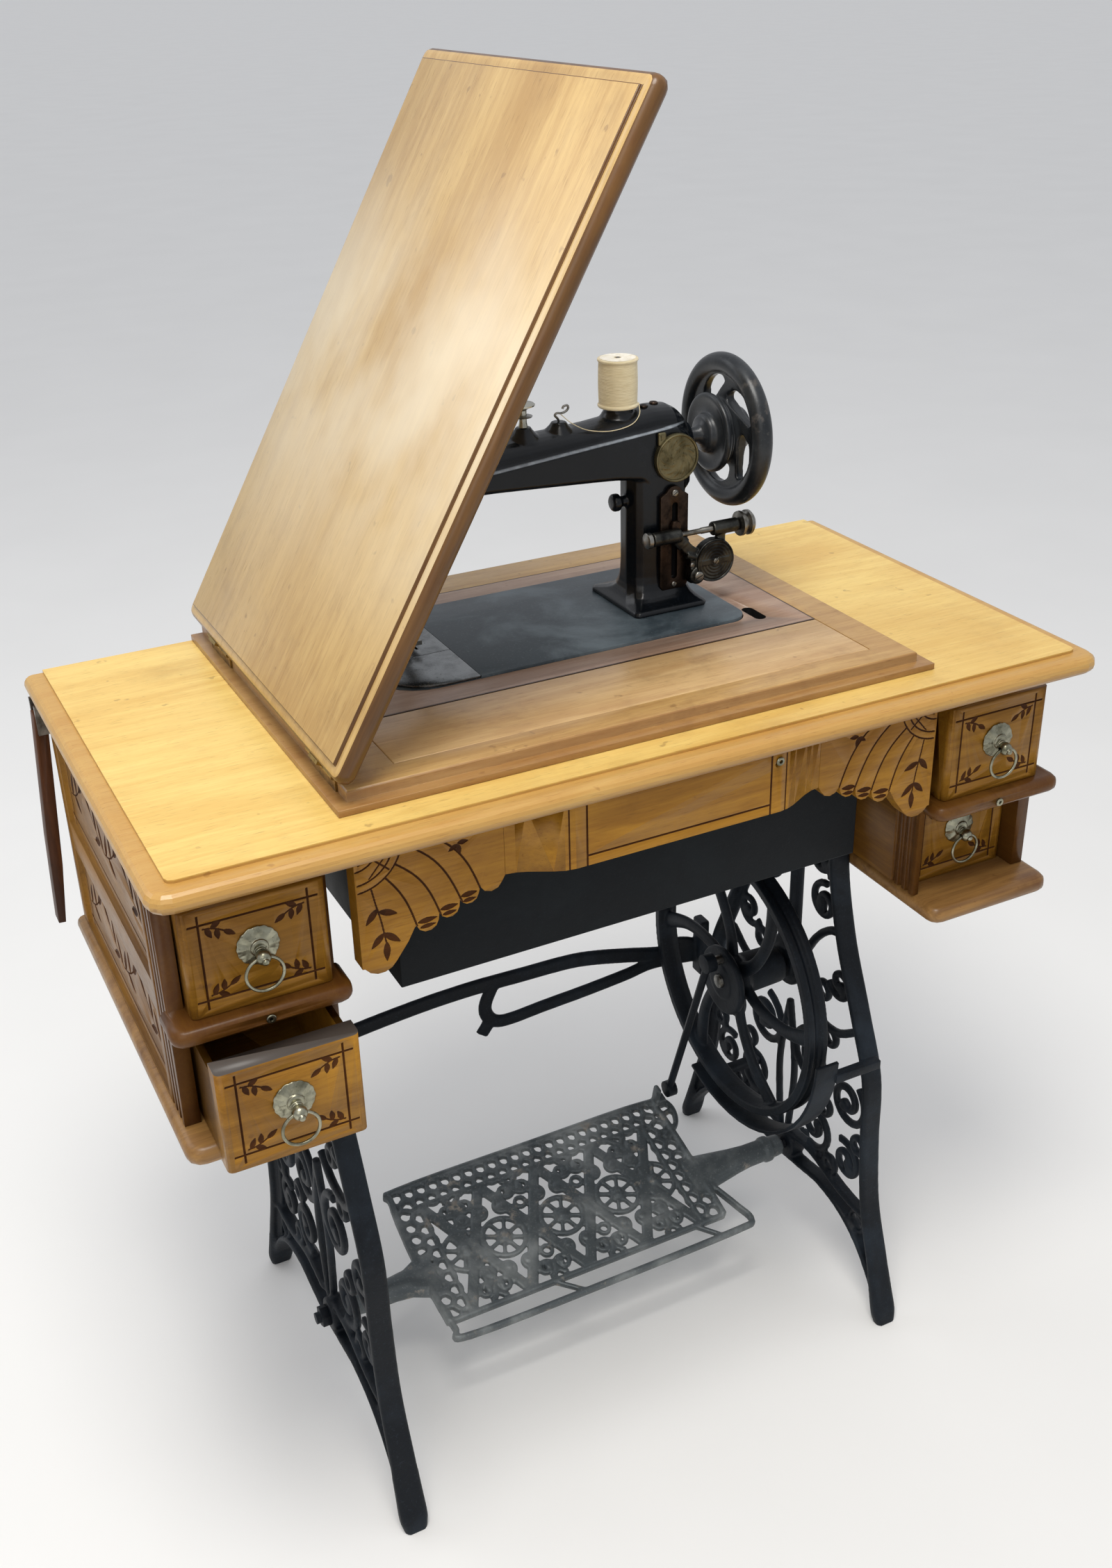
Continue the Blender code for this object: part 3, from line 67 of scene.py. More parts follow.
# ---------------------------------------------------------------- material building blocks
class Shader:
    """A node material under construction."""

    def __init__(self, name):
        self.material = bpy.data.materials.new(name)
        self.material.use_nodes = True
        self.tree = self.material.node_tree
        self.surface = self.tree.nodes["Principled BSDF"]
        self.place = self.node("ShaderNodeTexCoord").outputs["Object"]

    def node(self, kind, inputs=None, **settings):
        made = self.tree.nodes.new(kind)
        for key, value in settings.items():
            setattr(made, key, value)
        for key, value in (inputs or {}).items():
            self.feed(made.inputs[key], value)
        return made

    def feed(self, socket, value):
        if isinstance(value, bpy.types.NodeSocket):
            self.tree.links.new(value, socket)
        else:
            socket.default_value = value

    def scaled(self, scale, turn=(0, 0, 0)):
        """Object coordinates turned, then stretched."""
        where = self.place
        if any(turn):
            where = self.node("ShaderNodeMapping", {"Vector": where, "Rotation": turn}).outputs[0]
        return self.node("ShaderNodeMapping", {"Vector": where, "Scale": scale}).outputs[0]

    def noise(self, where, scale, detail=3.0, rough=0.5, distort=0.0):
        return self.node("ShaderNodeTexNoise", {"Vector": where, "Scale": scale, "Detail": detail,
                                                "Roughness": rough, "Distortion": distort}).outputs["Fac"]

    def math(self, operation, a, b=0.0, c=0.0):
        return self.node("ShaderNodeMath", {0: a, 1: b, 2: c}, operation=operation).outputs[0]

    def steps(self, value, low, high, out_low=0.0, out_high=1.0):
        """A smooth step of the value between low and high."""
        made = self.node("ShaderNodeMapRange", {"Value": value, "From Min": low, "From Max": high,
                                                "To Min": out_low, "To Max": out_high},
                         interpolation_type="SMOOTHSTEP")
        return made.outputs[0]

    def mix(self, fac, a, b, blend="MIX"):
        made = self.node("ShaderNodeMix", data_type="RGBA", blend_type=blend)
        self.feed(made.inputs[0], fac)
        for socket, value in ((made.inputs[6], a), (made.inputs[7], b)):
            self.feed(socket, value if isinstance(value, bpy.types.NodeSocket) else (*value, 1.0))
        return made.outputs[2]

    def axes(self):
        parts = self.node("ShaderNodeSeparateXYZ", {0: self.place})
        return parts.outputs[0], parts.outputs[1], parts.outputs[2]

    def set(self, **values):
        for key, value in values.items():
            self.feed(self.surface.inputs[key.replace("_", " ")], value)

    def bump(self, *layers):
        """Stacks (height, distance in metres) bumps on the surface's normal."""
        normal = None
        for height, distance in layers:
            inputs = {"Height": height, "Distance": distance, "Strength": 1.0}
            if normal is not None:
                inputs["Normal"] = normal
            normal = self.node("ShaderNodeBump", inputs).outputs[0]
        self.set(Normal=normal)


def colour(red, green, blue):
    """Linear colour from sRGB values out of 255."""
    return tuple(((c / 255 + 0.055) / 1.055) ** 2.4 if c > 10 else c / 255 / 12.92
                 for c in (red, green, blue))


def wood(name, light, dark, pores, along="X", turn=(0, 0, 0), rough=0.34, dirt=0.35, fade=None,
         coat=0.18, gloss=0.4):
    """Varnished maple: drifting tone, long figure, fine fibres, short dark pores and dirt."""
    s = Shader(name)
    stretch = {"X": (0.07, 1, 1), "Y": (1, 0.07, 1), "Z": (1, 1, 0.07)}[along]
    grain = s.scaled(stretch, turn)
    soft = {"X": (0.5, 1, 1), "Y": (1, 0.5, 1), "Z": (1, 1, 0.5)}[along]
    broad = s.noise(s.scaled(soft, turn), 4.5, 4, 0.55, 0.6)
    figure = s.noise(grain, 55, 5, 0.6, 1.6)
    fibres = s.noise(grain, 420, 3, 0.6)
    specks = s.steps(s.noise(grain, 900, 2, 0.5), 0.60, 0.72)
    tone = s.math("ADD", s.math("MULTIPLY", broad, 0.60), s.math("MULTIPLY", figure, 0.32))
    tone = s.math("ADD", tone, s.math("MULTIPLY", fibres, 0.14))
    body = s.mix(s.steps(tone, 0.38, 0.68), light, dark)
    body = s.mix(s.math("MULTIPLY", specks, 0.30), body, pores)
    grime = s.steps(s.noise(s.place, 14, 6, 0.65, 0.3), 0.50, 0.78)
    body = s.mix(s.math("MULTIPLY", grime, dirt), body, pores)
    marks = s.steps(s.noise(s.place, 70, 2, 0.5), 0.70, 0.76)
    body = s.mix(s.math("MULTIPLY", marks, 0.35), body, pores)
    if fade:
        body = fade(s, body)
    s.set(Base_Color=body)
    worn = s.math("MULTIPLY", s.noise(s.place, 22, 5, 0.7), 0.26)
    s.set(Roughness=s.math("ADD", s.math("ADD", worn, rough - 0.13), s.math("MULTIPLY", specks, 0.1)))
    s.set(Coat_Weight=coat, Coat_Roughness=0.22, Specular_IOR_Level=gloss)
    s.bump((figure, 0.00010), (fibres, 0.00006), (s.noise(s.place, 9, 2), 0.0006))
    return s.material


def cast_metal(name, base, dust, rough=0.5, metallic=0.0, grit=0.0003, sheen=0.35,
               worn=None, gloss=0.5, fade=None):
    """Japanned or bare cast iron: pitted skin, dust in patches and rubbed places."""
    s = Shader(name)
    pits = s.noise(s.place, 420, 4, 0.6)
    lumps = s.noise(s.place, 60, 4, 0.55)
    cloud = s.noise(s.place, 11, 5, 0.62, 0.4)
    dusty = s.math("MULTIPLY", s.steps(cloud, 0.42, 0.72), sheen)
    body = s.mix(dusty, base, dust)
    body = s.mix(s.math("MULTIPLY", s.steps(pits, 0.56, 0.72), 0.35), body, dust)
    if worn:
        rub = s.steps(s.noise(s.place, 38, 5, 0.7), 0.58, 0.70)
        body = s.mix(s.math("MULTIPLY", rub, 0.7), body, worn)
    if fade:
        body = fade(s, body)
    s.set(Base_Color=body, Metallic=metallic, Specular_IOR_Level=gloss)
    s.set(Roughness=s.math("ADD", rough - 0.08, s.math("MULTIPLY", cloud, 0.30)))
    s.bump((lumps, grit * 1.6), (pits, grit * 0.45))
    return s.material


def metal(name, base, tarnish, rough, spots=0.5):
    """Plated or bare metal with tarnish clouds, fine scratches and dark spots."""
    s = Shader(name)
    cloud = s.noise(s.place, 60, 5, 0.6, 0.3)
    scratch = s.noise(s.place, 900, 2, 0.5)
    freckles = s.steps(s.noise(s.place, 380, 3, 0.6), 0.60, 0.70)
    body = s.mix(s.steps(cloud, 0.38, 0.70), base, tarnish)
    body = s.mix(s.math("MULTIPLY", freckles, spots), body, tuple(c * 0.35 for c in tarnish))
    s.set(Base_Color=body, Metallic=1.0)
    s.set(Roughness=s.math("ADD", rough - 0.1, s.math("ADD", s.math("MULTIPLY", cloud, 0.22),
                                                      s.math("MULTIPLY", freckles, 0.2))))
    s.bump((scratch, 0.00002), (cloud, 0.0001))
    return s.material


def japan_ridge_highlight(s, body):
    """Painted highlight: a pale line along the arm's front ridge, where its gloss catches the light."""
    x, y, z = s.axes()
    slope, height = 0.085, 0.1803
    ridge = s.math("MULTIPLY_ADD", x, slope, ORIGIN.z + height - slope * ORIGIN.x)
    off = s.math("ABSOLUTE", s.math("SUBTRACT", z, ridge))
    line = s.steps(off, 0.0004, 0.0015, 1.0, 0.0)
    line = s.math("MULTIPLY", line, s.steps(y, ORIGIN.y + 0.0300, ORIGIN.y + 0.0420, 1.0, 0.0))
    line = s.math("MULTIPLY", line, s.noise(s.place, 120, 3, 0.6))
    return s.mix(line, body, colour(196, 206, 216))


def make_materials():
    pores = colour(84, 46, 18)
    m = {}

    def table_edge_shade(s, body):
        """Painted shade: brown down the edge below the top face, darker still towards the bottom of the bead.
        """
        z = s.axes()[2]
        groove = s.steps(z, ORIGIN.z - 0.0016, ORIGIN.z - 0.0003, 1.0, 0.0)
        body = s.mix(s.math("MULTIPLY", groove, 0.50), body, colour(150, 92, 40))
        low = s.steps(z, ORIGIN.z - 0.0195, ORIGIN.z - 0.012, 1.0, 0.0)
        return s.mix(s.math("MULTIPLY", low, 0.55), body, colour(96, 54, 22))

    def rim_side_shade(s, body):
        """Painted shade: brown down the rim's moulded sides."""
        z = s.axes()[2]
        side = s.steps(z, ORIGIN.z + 0.0145, ORIGIN.z + 0.0153, 1.0, 0.0)
        return s.mix(s.math("MULTIPLY", side, 0.45), body, colour(120, 72, 32))

    def board_fade(s, body):
        """Dark seam round the board's edge."""
        low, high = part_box("machine_board")
        x, y, _ = s.axes()
        seam = None
        for axis, a, b in ((x, low[0], high[0]), (y, low[1], high[1])):
            off = s.math("ABSOLUTE", s.math("SUBTRACT", axis, (a + b) / 2))
            edge = s.steps(off, (b - a) / 2 - 0.0022, (b - a) / 2 - 0.0010)
            seam = edge if seam is None else s.math("MAXIMUM", seam, edge)
        return s.mix(s.math("MULTIPLY", seam, 0.9), body, colour(46, 28, 18))

    def lid_painted_sheen(s, body):
        """Painted sheen: a pale patch across the middle of the lid, standing in for the reflection on its
        varnish.
        """
        z = s.axes()[2]
        patch = s.math("MULTIPLY", s.steps(z, ORIGIN.z + 0.08, ORIGIN.z + 0.26),
                       s.steps(z, ORIGIN.z + 0.30, ORIGIN.z + 0.47, 1.0, 0.0))
        cloud = s.steps(s.noise(s.place, 3.5, 4, 0.6), 0.30, 0.62)
        return s.mix(s.math("MULTIPLY", s.math("MULTIPLY", patch, cloud), 0.75), body,
                     colour(220, 206, 178))

    def post_fade(s, body):
        """Dark reeded posts at the front of each pedestal."""
        y = s.axes()[1]
        post = s.steps(y, ORIGIN.y - 0.150, ORIGIN.y - 0.136, 1.0, 0.0)
        return s.mix(s.math("MULTIPLY", post, 0.62), body, colour(78, 44, 20))

    def drawer_fade(s, body):
        """Grey worn top edge."""
        z = s.axes()[2]
        upper = s.steps(z, ORIGIN.z - 0.1578, ORIGIN.z - 0.1572)
        lower = s.steps(z, ORIGIN.z - 0.1560, ORIGIN.z - 0.1550, 1.0, 0.0)
        band = s.math("MULTIPLY", upper, lower)
        return s.mix(s.math("MULTIPLY", band, 0.95), body, colour(74, 71, 69))

    m["top"] = wood("wood_table_top", colour(230, 200, 120), colour(208, 168, 88), pores,
                    fade=table_edge_shade, dirt=0.16)
    m["rim"] = wood("wood_rim", colour(200, 164, 104), colour(160, 120, 68), pores, fade=rim_side_shade)
    m["lid"] = wood("wood_lid", colour(200, 168, 108), colour(168, 132, 76), pores,
                    turn=(0, math.radians(60), 0), rough=0.36, dirt=0.20, coat=0.4, fade=lid_painted_sheen)
    # The lid's edges: a darker copy of the lid's wood, painted shade.
    m["lid_edge"] = wood("wood_lid_edge", colour(108, 74, 34), colour(68, 44, 20), pores,
                         turn=(0, math.radians(60), 0), rough=0.34, dirt=0.5, coat=0.3, gloss=0.3)
    m["flap"] = wood("wood_flap", colour(216, 184, 132), colour(180, 142, 94), pores, dirt=0.4)
    m["board"] = wood("wood_machine_board", colour(178, 152, 130), colour(142, 112, 92),
                      colour(88, 62, 48), dirt=0.5, rough=0.40, fade=board_fade)
    m["case"] = wood("wood_case", colour(148, 104, 38), colour(102, 66, 22), pores, along="Y",
                     fade=post_fade, dirt=0.4, coat=0.06, gloss=0.2)
    m["shelf"] = wood("wood_shelf", colour(164, 124, 70), colour(112, 78, 42), pores, dirt=0.7,
                      coat=0.1, gloss=0.3)
    m["drawer"] = wood("wood_drawer", colour(168, 120, 40), colour(122, 82, 24), pores,
                       fade=drawer_fade, dirt=0.35, coat=0.05, gloss=0.2)
    m["apron"] = wood("wood_apron", colour(176, 126, 38), colour(132, 88, 24), pores, dirt=0.3,
                      coat=0.05, gloss=0.2)
    m["dark_wood"] = wood("wood_dark", colour(98, 58, 30), colour(54, 30, 16), colour(20, 12, 8),
                          along="Z", dirt=0.5, rough=0.5, coat=0.05, gloss=0.2)
    m["groove"] = wood("wood_stained_groove", colour(84, 48, 18), colour(54, 29, 11),
                       colour(28, 15, 7), rough=0.6, coat=0.0, gloss=0.1)
    m["iron"] = cast_metal("iron_japanned", colour(13, 18, 24), colour(46, 56, 66), 0.44,
                           0.0, 0.00035, sheen=0.45, gloss=0.2)
    m["treadle_iron"] = cast_metal("iron_worn_grey", colour(82, 88, 90), colour(156, 160, 158), 0.42,
                                   0.4, 0.0003, sheen=0.85, worn=colour(162, 152, 138))
    m["japan"] = cast_metal("japan_gloss_black", colour(5, 8, 12), colour(30, 36, 44), 0.19,
                            0.0, 0.00010, sheen=0.4, gloss=0.35, fade=japan_ridge_highlight)
    m["bed"] = cast_metal("japan_bed_dull", colour(52, 62, 68), colour(108, 120, 126), 0.34, 0.1,
                          0.00010, sheen=0.8)
    m["wheel_black"] = cast_metal("japan_wheel_worn", colour(20, 24, 28), colour(72, 75, 78), 0.24,
                                  0.1, 0.00008, sheen=0.45, worn=colour(84, 80, 76), gloss=0.4)
    m["steel"] = metal("steel_dull", colour(150, 148, 142), colour(92, 88, 80), 0.32)
    m["nickel"] = metal("nickel_tarnished", colour(178, 176, 164), colour(148, 144, 128), 0.24, spots=0.25)
    m["plate"] = metal("steel_polished_plate", colour(126, 128, 128), colour(98, 100, 100), 0.24,
                       spots=0.2)
    m["old_nickel"] = metal("nickel_old_yellowed", colour(164, 162, 142), colour(104, 102, 84), 0.30)
    m["brass"] = metal("brass_aged", colour(176, 150, 88), colour(112, 90, 48), 0.36)
    m["badge"] = metal("brass_badge_dull", colour(124, 116, 88), colour(84, 78, 56), 0.46)
    m["bronze"] = metal("bronze_dull", colour(76, 76, 72), colour(36, 36, 36), 0.36)
    m["browned"] = metal("steel_browned", colour(66, 54, 46), colour(34, 28, 25), 0.42)
    # Black for slot openings: painted shade.
    m["slot_shade"] = cast_metal("slot_painted_shade", colour(8, 8, 9), colour(14, 14, 14), 0.7, gloss=0.1)
    m["tin"] = cast_metal("tin_painted_dark", colour(10, 15, 19), colour(30, 36, 39), 0.5, 0.1,
                          0.0002, sheen=0.4, gloss=0.15)
    s = Shader("cotton_thread")
    winding = s.noise(s.scaled((0.2, 0.2, 6)), 420, 3, 0.6)
    soiled = s.noise(s.place, 50, 4, 0.6)
    s.set(Base_Color=s.mix(s.steps(winding, 0.3, 0.7), colour(236, 224, 190), colour(212, 196, 154)))
    s.set(Roughness=s.math("ADD", 0.70, s.math("MULTIPLY", soiled, 0.2)), Sheen_Weight=0.35)
    s.bump((winding, 0.00025))
    m["thread"] = s.material
    s = Shader("spool_end_paper")
    speck = s.noise(s.place, 180, 4, 0.6)
    s.set(Base_Color=s.mix(s.steps(speck, 0.35, 0.7), colour(246, 242, 230), colour(226, 218, 196)))
    s.set(Roughness=s.math("ADD", 0.55, s.math("MULTIPLY", speck, 0.2)))
    s.bump((speck, 0.0001))
    m["spool_end"] = s.material
    s = Shader("studio_floor")
    cloud = s.noise(s.place, 3, 3, 0.5)
    s.set(Base_Color=s.mix(cloud, colour(240, 239, 236), colour(234, 233, 230)), Roughness=0.8)
    m["floor"] = s.material
    return m


M = make_materials()


# ---------------------------------------------------------------- mesh building blocks
def link(name, mesh):
    """Puts a mesh in the scene as an object."""
    obj = bpy.data.objects.new(name, mesh)
    bpy.context.scene.collection.objects.link(obj)
    return obj


def solid(name, verts, faces):
    """Object from lists of points and faces."""
    mesh = bpy.data.meshes.new(name)
    mesh.from_pydata([tuple(v) for v in verts], [], [tuple(f) for f in faces])
    mesh.update()
    return link(name, mesh)


def bake(obj):
    """Applies an object's modifiers."""
    bpy.context.view_layer.update()
    graph = bpy.context.evaluated_depsgraph_get()
    mesh = bpy.data.meshes.new_from_object(obj.evaluated_get(graph))
    old = obj.data
    obj.modifiers.clear()
    obj.data = mesh
    bpy.data.meshes.remove(old)
    return obj


@contextmanager
def edited(mesh):
    """Opens a mesh for bmesh work, and writes it back."""
    bm = bmesh.new()
    bm.from_mesh(mesh)
    yield bm
    bm.to_mesh(mesh)
    bm.free()


def tidied(obj):
    """Welds coincident points and turns every face outward."""
    with edited(obj.data) as bm:
        bmesh.ops.remove_doubles(bm, verts=bm.verts, dist=1e-6)
        bmesh.ops.recalc_face_normals(bm, faces=bm.faces)
    return obj


def join(name, pieces):
    """Puts several pieces into one mesh."""
    mesh = bpy.data.meshes.new(name)
    with edited(mesh) as bm:
        for piece in pieces:
            bm.from_mesh(piece.data)
            bpy.data.objects.remove(piece)
    return link(name, mesh)


def cast(name, pieces, voxel, rounds=4):
    """Melts overlapping closed pieces into one casting with soft inner corners."""
    obj = join(name, pieces)
    remesh = obj.modifiers.new("Remesh", "REMESH")
    remesh.mode = "VOXEL"
    remesh.voxel_size = voxel
    soft = obj.modifiers.new("Smooth", "SMOOTH")
    soft.factor = 0.5
    soft.iterations = rounds
    return bake(obj)


def subtract(obj, cutters, transfer=False):
    """Cuts the cutters out of a piece; transfer gives the cut faces the cutter's material."""
    for cutter in cutters:
        cut = obj.modifiers.new("Boolean", "BOOLEAN")
        cut.operation = "DIFFERENCE"
        cut.solver = "EXACT"
        if transfer:
            cut.material_mode = "TRANSFER"
        cut.object = cutter
    tidied(bake(obj))
    for cutter in cutters:
        bpy.data.objects.remove(cutter)
    return obj


def show(obj, body, kind, replaces=(), angle=40, local=True):
    """Puts a piece made in the table's frame into the row frame, and says what it is."""
    if local:
        obj.data.transform(Matrix.Translation(ORIGIN))
    if kind:
        obj.data.materials.clear()
        obj.data.materials.append(M[kind])
    obj.data.shade_smooth()
    obj.data.set_sharp_from_angle(angle=math.radians(angle))
    if replaces:
        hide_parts(*replaces)
    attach(obj, body)
    return obj


def repaint(node, kind):
    """Gives a CAD node that stays in view its material."""
    obj = NODES[node]
    for slot in obj.material_slots:
        slot.material = M[kind]
    if not obj.material_slots:
        obj.data.materials.append(M[kind])


def copy_of(node, name, kind):
    """A piece with the CAD node's own mesh, in a new material."""
    source = NODES[node]
    piece = link(name, source.data.copy())
    piece.matrix_world = source.matrix_world
    piece.data.materials.clear()
    piece.data.materials.append(M[kind])
    return piece


def angles(count, shift=0.0):
    """Even turns round a circle."""
    return [math.tau * (i + shift) / count for i in range(count)]


def slot_outline(x, low, high, radius, count):
    """Outline of a round-ended slot between two heights."""
    return [(x + radius * math.cos(a), (high if math.sin(a) > 0 else low) + radius * math.sin(a))
            for a in angles(count, 0.5)]


def turned(name, profile, centre, axis, segments=48, ripple=None):
    """Turned solid from (radius, height) points; ripple(radius, angle, height) moves heights."""
    verts, faces, rings = [], [], []
    for r, h in profile:
        if r < 1e-7:
            rings.append([len(verts)])
            verts.append(Vector((0, 0, h)))
            continue
        ring = []
        for i in range(segments):
            a = math.tau * i / segments
            lift = ripple(r, a, h) if ripple else 0.0
            ring.append(len(verts))
            verts.append(Vector((r * math.cos(a), r * math.sin(a), h + lift)))
        rings.append(ring)
    for a, b in zip(rings, rings[1:]):
        for i in range(segments):
            j = (i + 1) % segments
            if len(a) == 1:
                faces.append((a[0], b[i], b[j]))
            elif len(b) == 1:
                faces.append((a[i], b[0], a[j]))
            else:
                faces.append((a[i], b[i], b[j], a[j]))
    turn = Vector(axis).to_track_quat("Z", "Y").to_matrix()
    return tidied(solid(name, [turn @ v + Vector(centre) for v in verts], faces))


def sweep(name, points, section, closed=False, scale=None, up=RIGHT):
    """Sweeps a closed flat section along a path; section's first axis follows up."""
    path = [Vector(p) for p in points]
    count = len(path)
    verts, faces = [], []
    n = len(section)
    for i, p in enumerate(path):
        if closed:
            along = path[(i + 1) % count] - path[i - 1]
        else:
            along = path[min(i + 1, count - 1)] - path[max(i - 1, 0)]
        along.normalize()
        side = Vector(up) - along * along.dot(Vector(up))
        side.normalize()
        other = along.cross(side)
        su, sv = scale(i / max(1, count - 1)) if scale else (1.0, 1.0)
        verts += [p + side * (a * su) + other * (b * sv) for a, b in section]
    for i in range(count if closed else count - 1):
        a, b = i * n, ((i + 1) % count) * n
        faces += [(a + j, a + (j + 1) % n, b + (j + 1) % n, b + j) for j in range(n)]
    if not closed:
        faces += [tuple(range(n))[::-1], tuple(range((count - 1) * n, count * n))]
    return solid(name, verts, faces)


def ring_section(ru, rv, count=12):
    """Oval section for a sweep."""
    return [(ru * math.cos(a), rv * math.sin(a)) for a in angles(count)]


def bar_section(width, thick, edge=0.25):
    """Flat bar with eased edges: width along the section's first axis."""
    w, t = width / 2, thick / 2
    e = min(w, t) * edge * 2
    return [(-w, -t + e), (-w + e, -t), (w - e, -t), (w, -t + e),
            (w, t - e), (w - e, t), (-w + e, t), (-w, t - e)]


def curve_through(controls, steps=8):
    """Smooth path through the controls."""
    c = [Vector(p) for p in controls]
    c = [2 * c[0] - c[1]] + c + [2 * c[-1] - c[-2]]
    path = []
    for p0, p1, p2, p3 in zip(c, c[1:], c[2:], c[3:]):
        for i in range(steps):
            t = i / steps
            path.append(0.5 * (2 * p1 + (p2 - p0) * t + (2 * p0 - 5 * p1 + 4 * p2 - p3) * t * t
                               + (3 * p1 - p0 - 3 * p2 + p3) * t ** 3))
    path.append(c[-2])
    return path


def spiral(centre, start_radius, end_radius, start, turns, steps=40):
    """Flat spiral in (y, z), winding inward from its start angle in degrees."""
    points = []
    for i in range(steps + 1):
        t = i / steps
        r = start_radius + (end_radius - start_radius) * t ** 0.8
        a = math.radians(start) + math.tau * turns * t
        points.append((centre[0] + r * math.cos(a), centre[1] + r * math.sin(a)))
    return points


def prism(name, outline, low, high, plane="YZ"):
    """Closed prism of a flat outline between two planes."""
    place = {"YZ": lambda a, b, level: (level, a, b), "XZ": lambda a, b, level: (a, level, b),
             "XY": lambda a, b, level: (a, b, level)}[plane]
    mesh = bpy.data.meshes.new(name)
    with edited(mesh) as bm:
        rings = [[bm.verts.new(place(a, b, level)) for a, b in outline] for level in (low, high)]
        bm.faces.new(rings[0])
        bm.faces.new(rings[1][::-1])
        n = len(outline)
        for i in range(n):
            j = (i + 1) % n
            bm.faces.new((rings[0][i], rings[1][i], rings[1][j], rings[0][j]))
        bmesh.ops.recalc_face_normals(bm, faces=bm.faces)
    return link(name, mesh)


def box(name, low, high, ease=0.0):
    """Block between two corners, with its edges rounded by ease."""
    mesh = bpy.data.meshes.new(name)
    with edited(mesh) as bm:
        bmesh.ops.create_cube(bm, size=1.0)
        bmesh.ops.scale(bm, vec=[b - a for a, b in zip(low, high)], verts=bm.verts)
        bmesh.ops.translate(bm, vec=[(a + b) / 2 for a, b in zip(low, high)], verts=bm.verts)
        if ease:
            bmesh.ops.bevel(bm, geom=bm.edges[:], offset=ease, segments=3, profile=0.5, affect="EDGES")
    return link(name, mesh)


def bore(start, end, radius):
    """Round cutter between two places."""
    start, along = Vector(start), Vector(end) - Vector(start)
    return turned("bore", [(0, 0), (radius, 0), (radius, along.length), (0, along.length)], start, along, 24)


# ---------------------------------------------------------------- carved wood
def groove_cutter(name, strokes, leaves, to_space, step=0.0005):
    """Cutter for incised work: strokes are (points, half width, depth), leaves (base, tip, half
    width, depth). to_space(u, v, height) gives the place; height is above the wood's face."""
    pts = [p for points, _, _ in strokes for p in points]
    pts += [p for leaf in leaves for p in leaf[:2]]
    us, vs = [p[0] for p in pts], [p[1] for p in pts]
    pad = 0.006
    u = np.arange(min(us) - pad, max(us) + pad, step)
    v = np.arange(min(vs) - pad, max(vs) + pad, step)
    depth = np.zeros((len(u), len(v)))

    def window(a, b, reach):
        i0 = np.searchsorted(u, min(a[0], b[0]) - reach)
        i1 = np.searchsorted(u, max(a[0], b[0]) + reach)
        j0 = np.searchsorted(v, min(a[1], b[1]) - reach)
        j1 = np.searchsorted(v, max(a[1], b[1]) + reach)
        uu, vv = np.meshgrid(u[i0:i1], v[j0:j1], indexing="ij")
        ax, ay = b[0] - a[0], b[1] - a[1]
        length = math.hypot(ax, ay) + 1e-9
        along = ((uu - a[0]) * ax + (vv - a[1]) * ay) / length
        across = ((vv - a[1]) * ax - (uu - a[0]) * ay) / length
        return (slice(i0, i1), slice(j0, j1)), along, across, length

    for points, half, deep in strokes:
        for a, b in zip(points, points[1:]):
            area, along, across, length = window(a, b, half * 1.2)
            over = np.maximum(0, np.maximum(-along, along - length))
            d = np.hypot(across, over)
            depth[area] = np.maximum(depth[area], deep * np.clip(1 - (d / half) ** 2, 0, 1))
    for base, tip, half, deep in leaves:
        area, along, across, length = window(base, tip, half * 1.2)
        t = np.clip(along / length, 0, 1)
        wide = half * np.sin(math.pi * t ** 0.85) ** 0.9 + 1e-6
        inside = (along > 0) & (along < length)
        form = np.clip(1 - (np.abs(across) / wide) ** 1.6, 0, 1) * inside
        rib = 0.35 * np.exp(-(across / 0.0004) ** 2)
        depth[area] = np.maximum(depth[area], deep * form * (1 - rib))
    corner = depth > 1e-6
    cells = corner[:-1, :-1] | corner[1:, :-1] | corner[:-1, 1:] | corner[1:, 1:]
    for _ in range(6):
        a, b = cells[:-1, :-1], cells[1:, 1:]
        c, d = cells[1:, :-1], cells[:-1, 1:]
        first, second = a & b & ~c & ~d, c & d & ~a & ~b
        if not (first.any() or second.any()):
            break
        cells[1:, :-1] |= first
        cells[:-1, :-1] |= second
    index, verts, faces = {}, [], []

    def corner_pair(i, j):
        if (i, j) not in index:
            index[i, j] = len(verts)
            height = -depth[i, j] if depth[i, j] > 1e-6 else 0.00006
            verts.append(to_space(u[i], v[j], height))
            verts.append(to_space(u[i], v[j], 0.0012))
        return index[i, j]

    rows, columns = cells.shape
    for i, j in zip(*np.nonzero(cells)):
        a, b = corner_pair(i, j), corner_pair(i + 1, j)
        c, d = corner_pair(i + 1, j + 1), corner_pair(i, j + 1)
        faces += [(a, d, c, b), (a + 1, b + 1, c + 1, d + 1)]
        for beside, p, q in (((i, j - 1), a, b), ((i + 1, j), b, c), ((i, j + 1), c, d), ((i - 1, j), d, a)):
            inside = 0 <= beside[0] < rows and 0 <= beside[1] < columns
            if not (inside and cells[beside]):
                faces.append((p, q, q + 1, p + 1))
    cutter = tidied(solid(name, verts, faces))
    cutter.data.materials.append(M["groove"])
    return cutter


def carve(node, body, kind, cutters):
    """The CAD node's own shape with incised work cut into it."""
    piece = subtract(copy_of(node, "carved_" + node, kind), cutters, transfer=True)
    show(piece, body, None, (node,), angle=35, local=False)


def crossed_frame(u0, u1, v0, v1, over, deep):
    """Four grooves round a panel that cross at its corners and run over by a little."""
    return [(line, 0.0010, deep) for line in (
        [(u0, v0 - over), (u0, v1 + over)], [(u1, v0 - over), (u1, v1 + over)],
        [(u0 - over, v0), (u1 + over, v0)], [(u0 - over, v1), (u1 + over, v1)])]


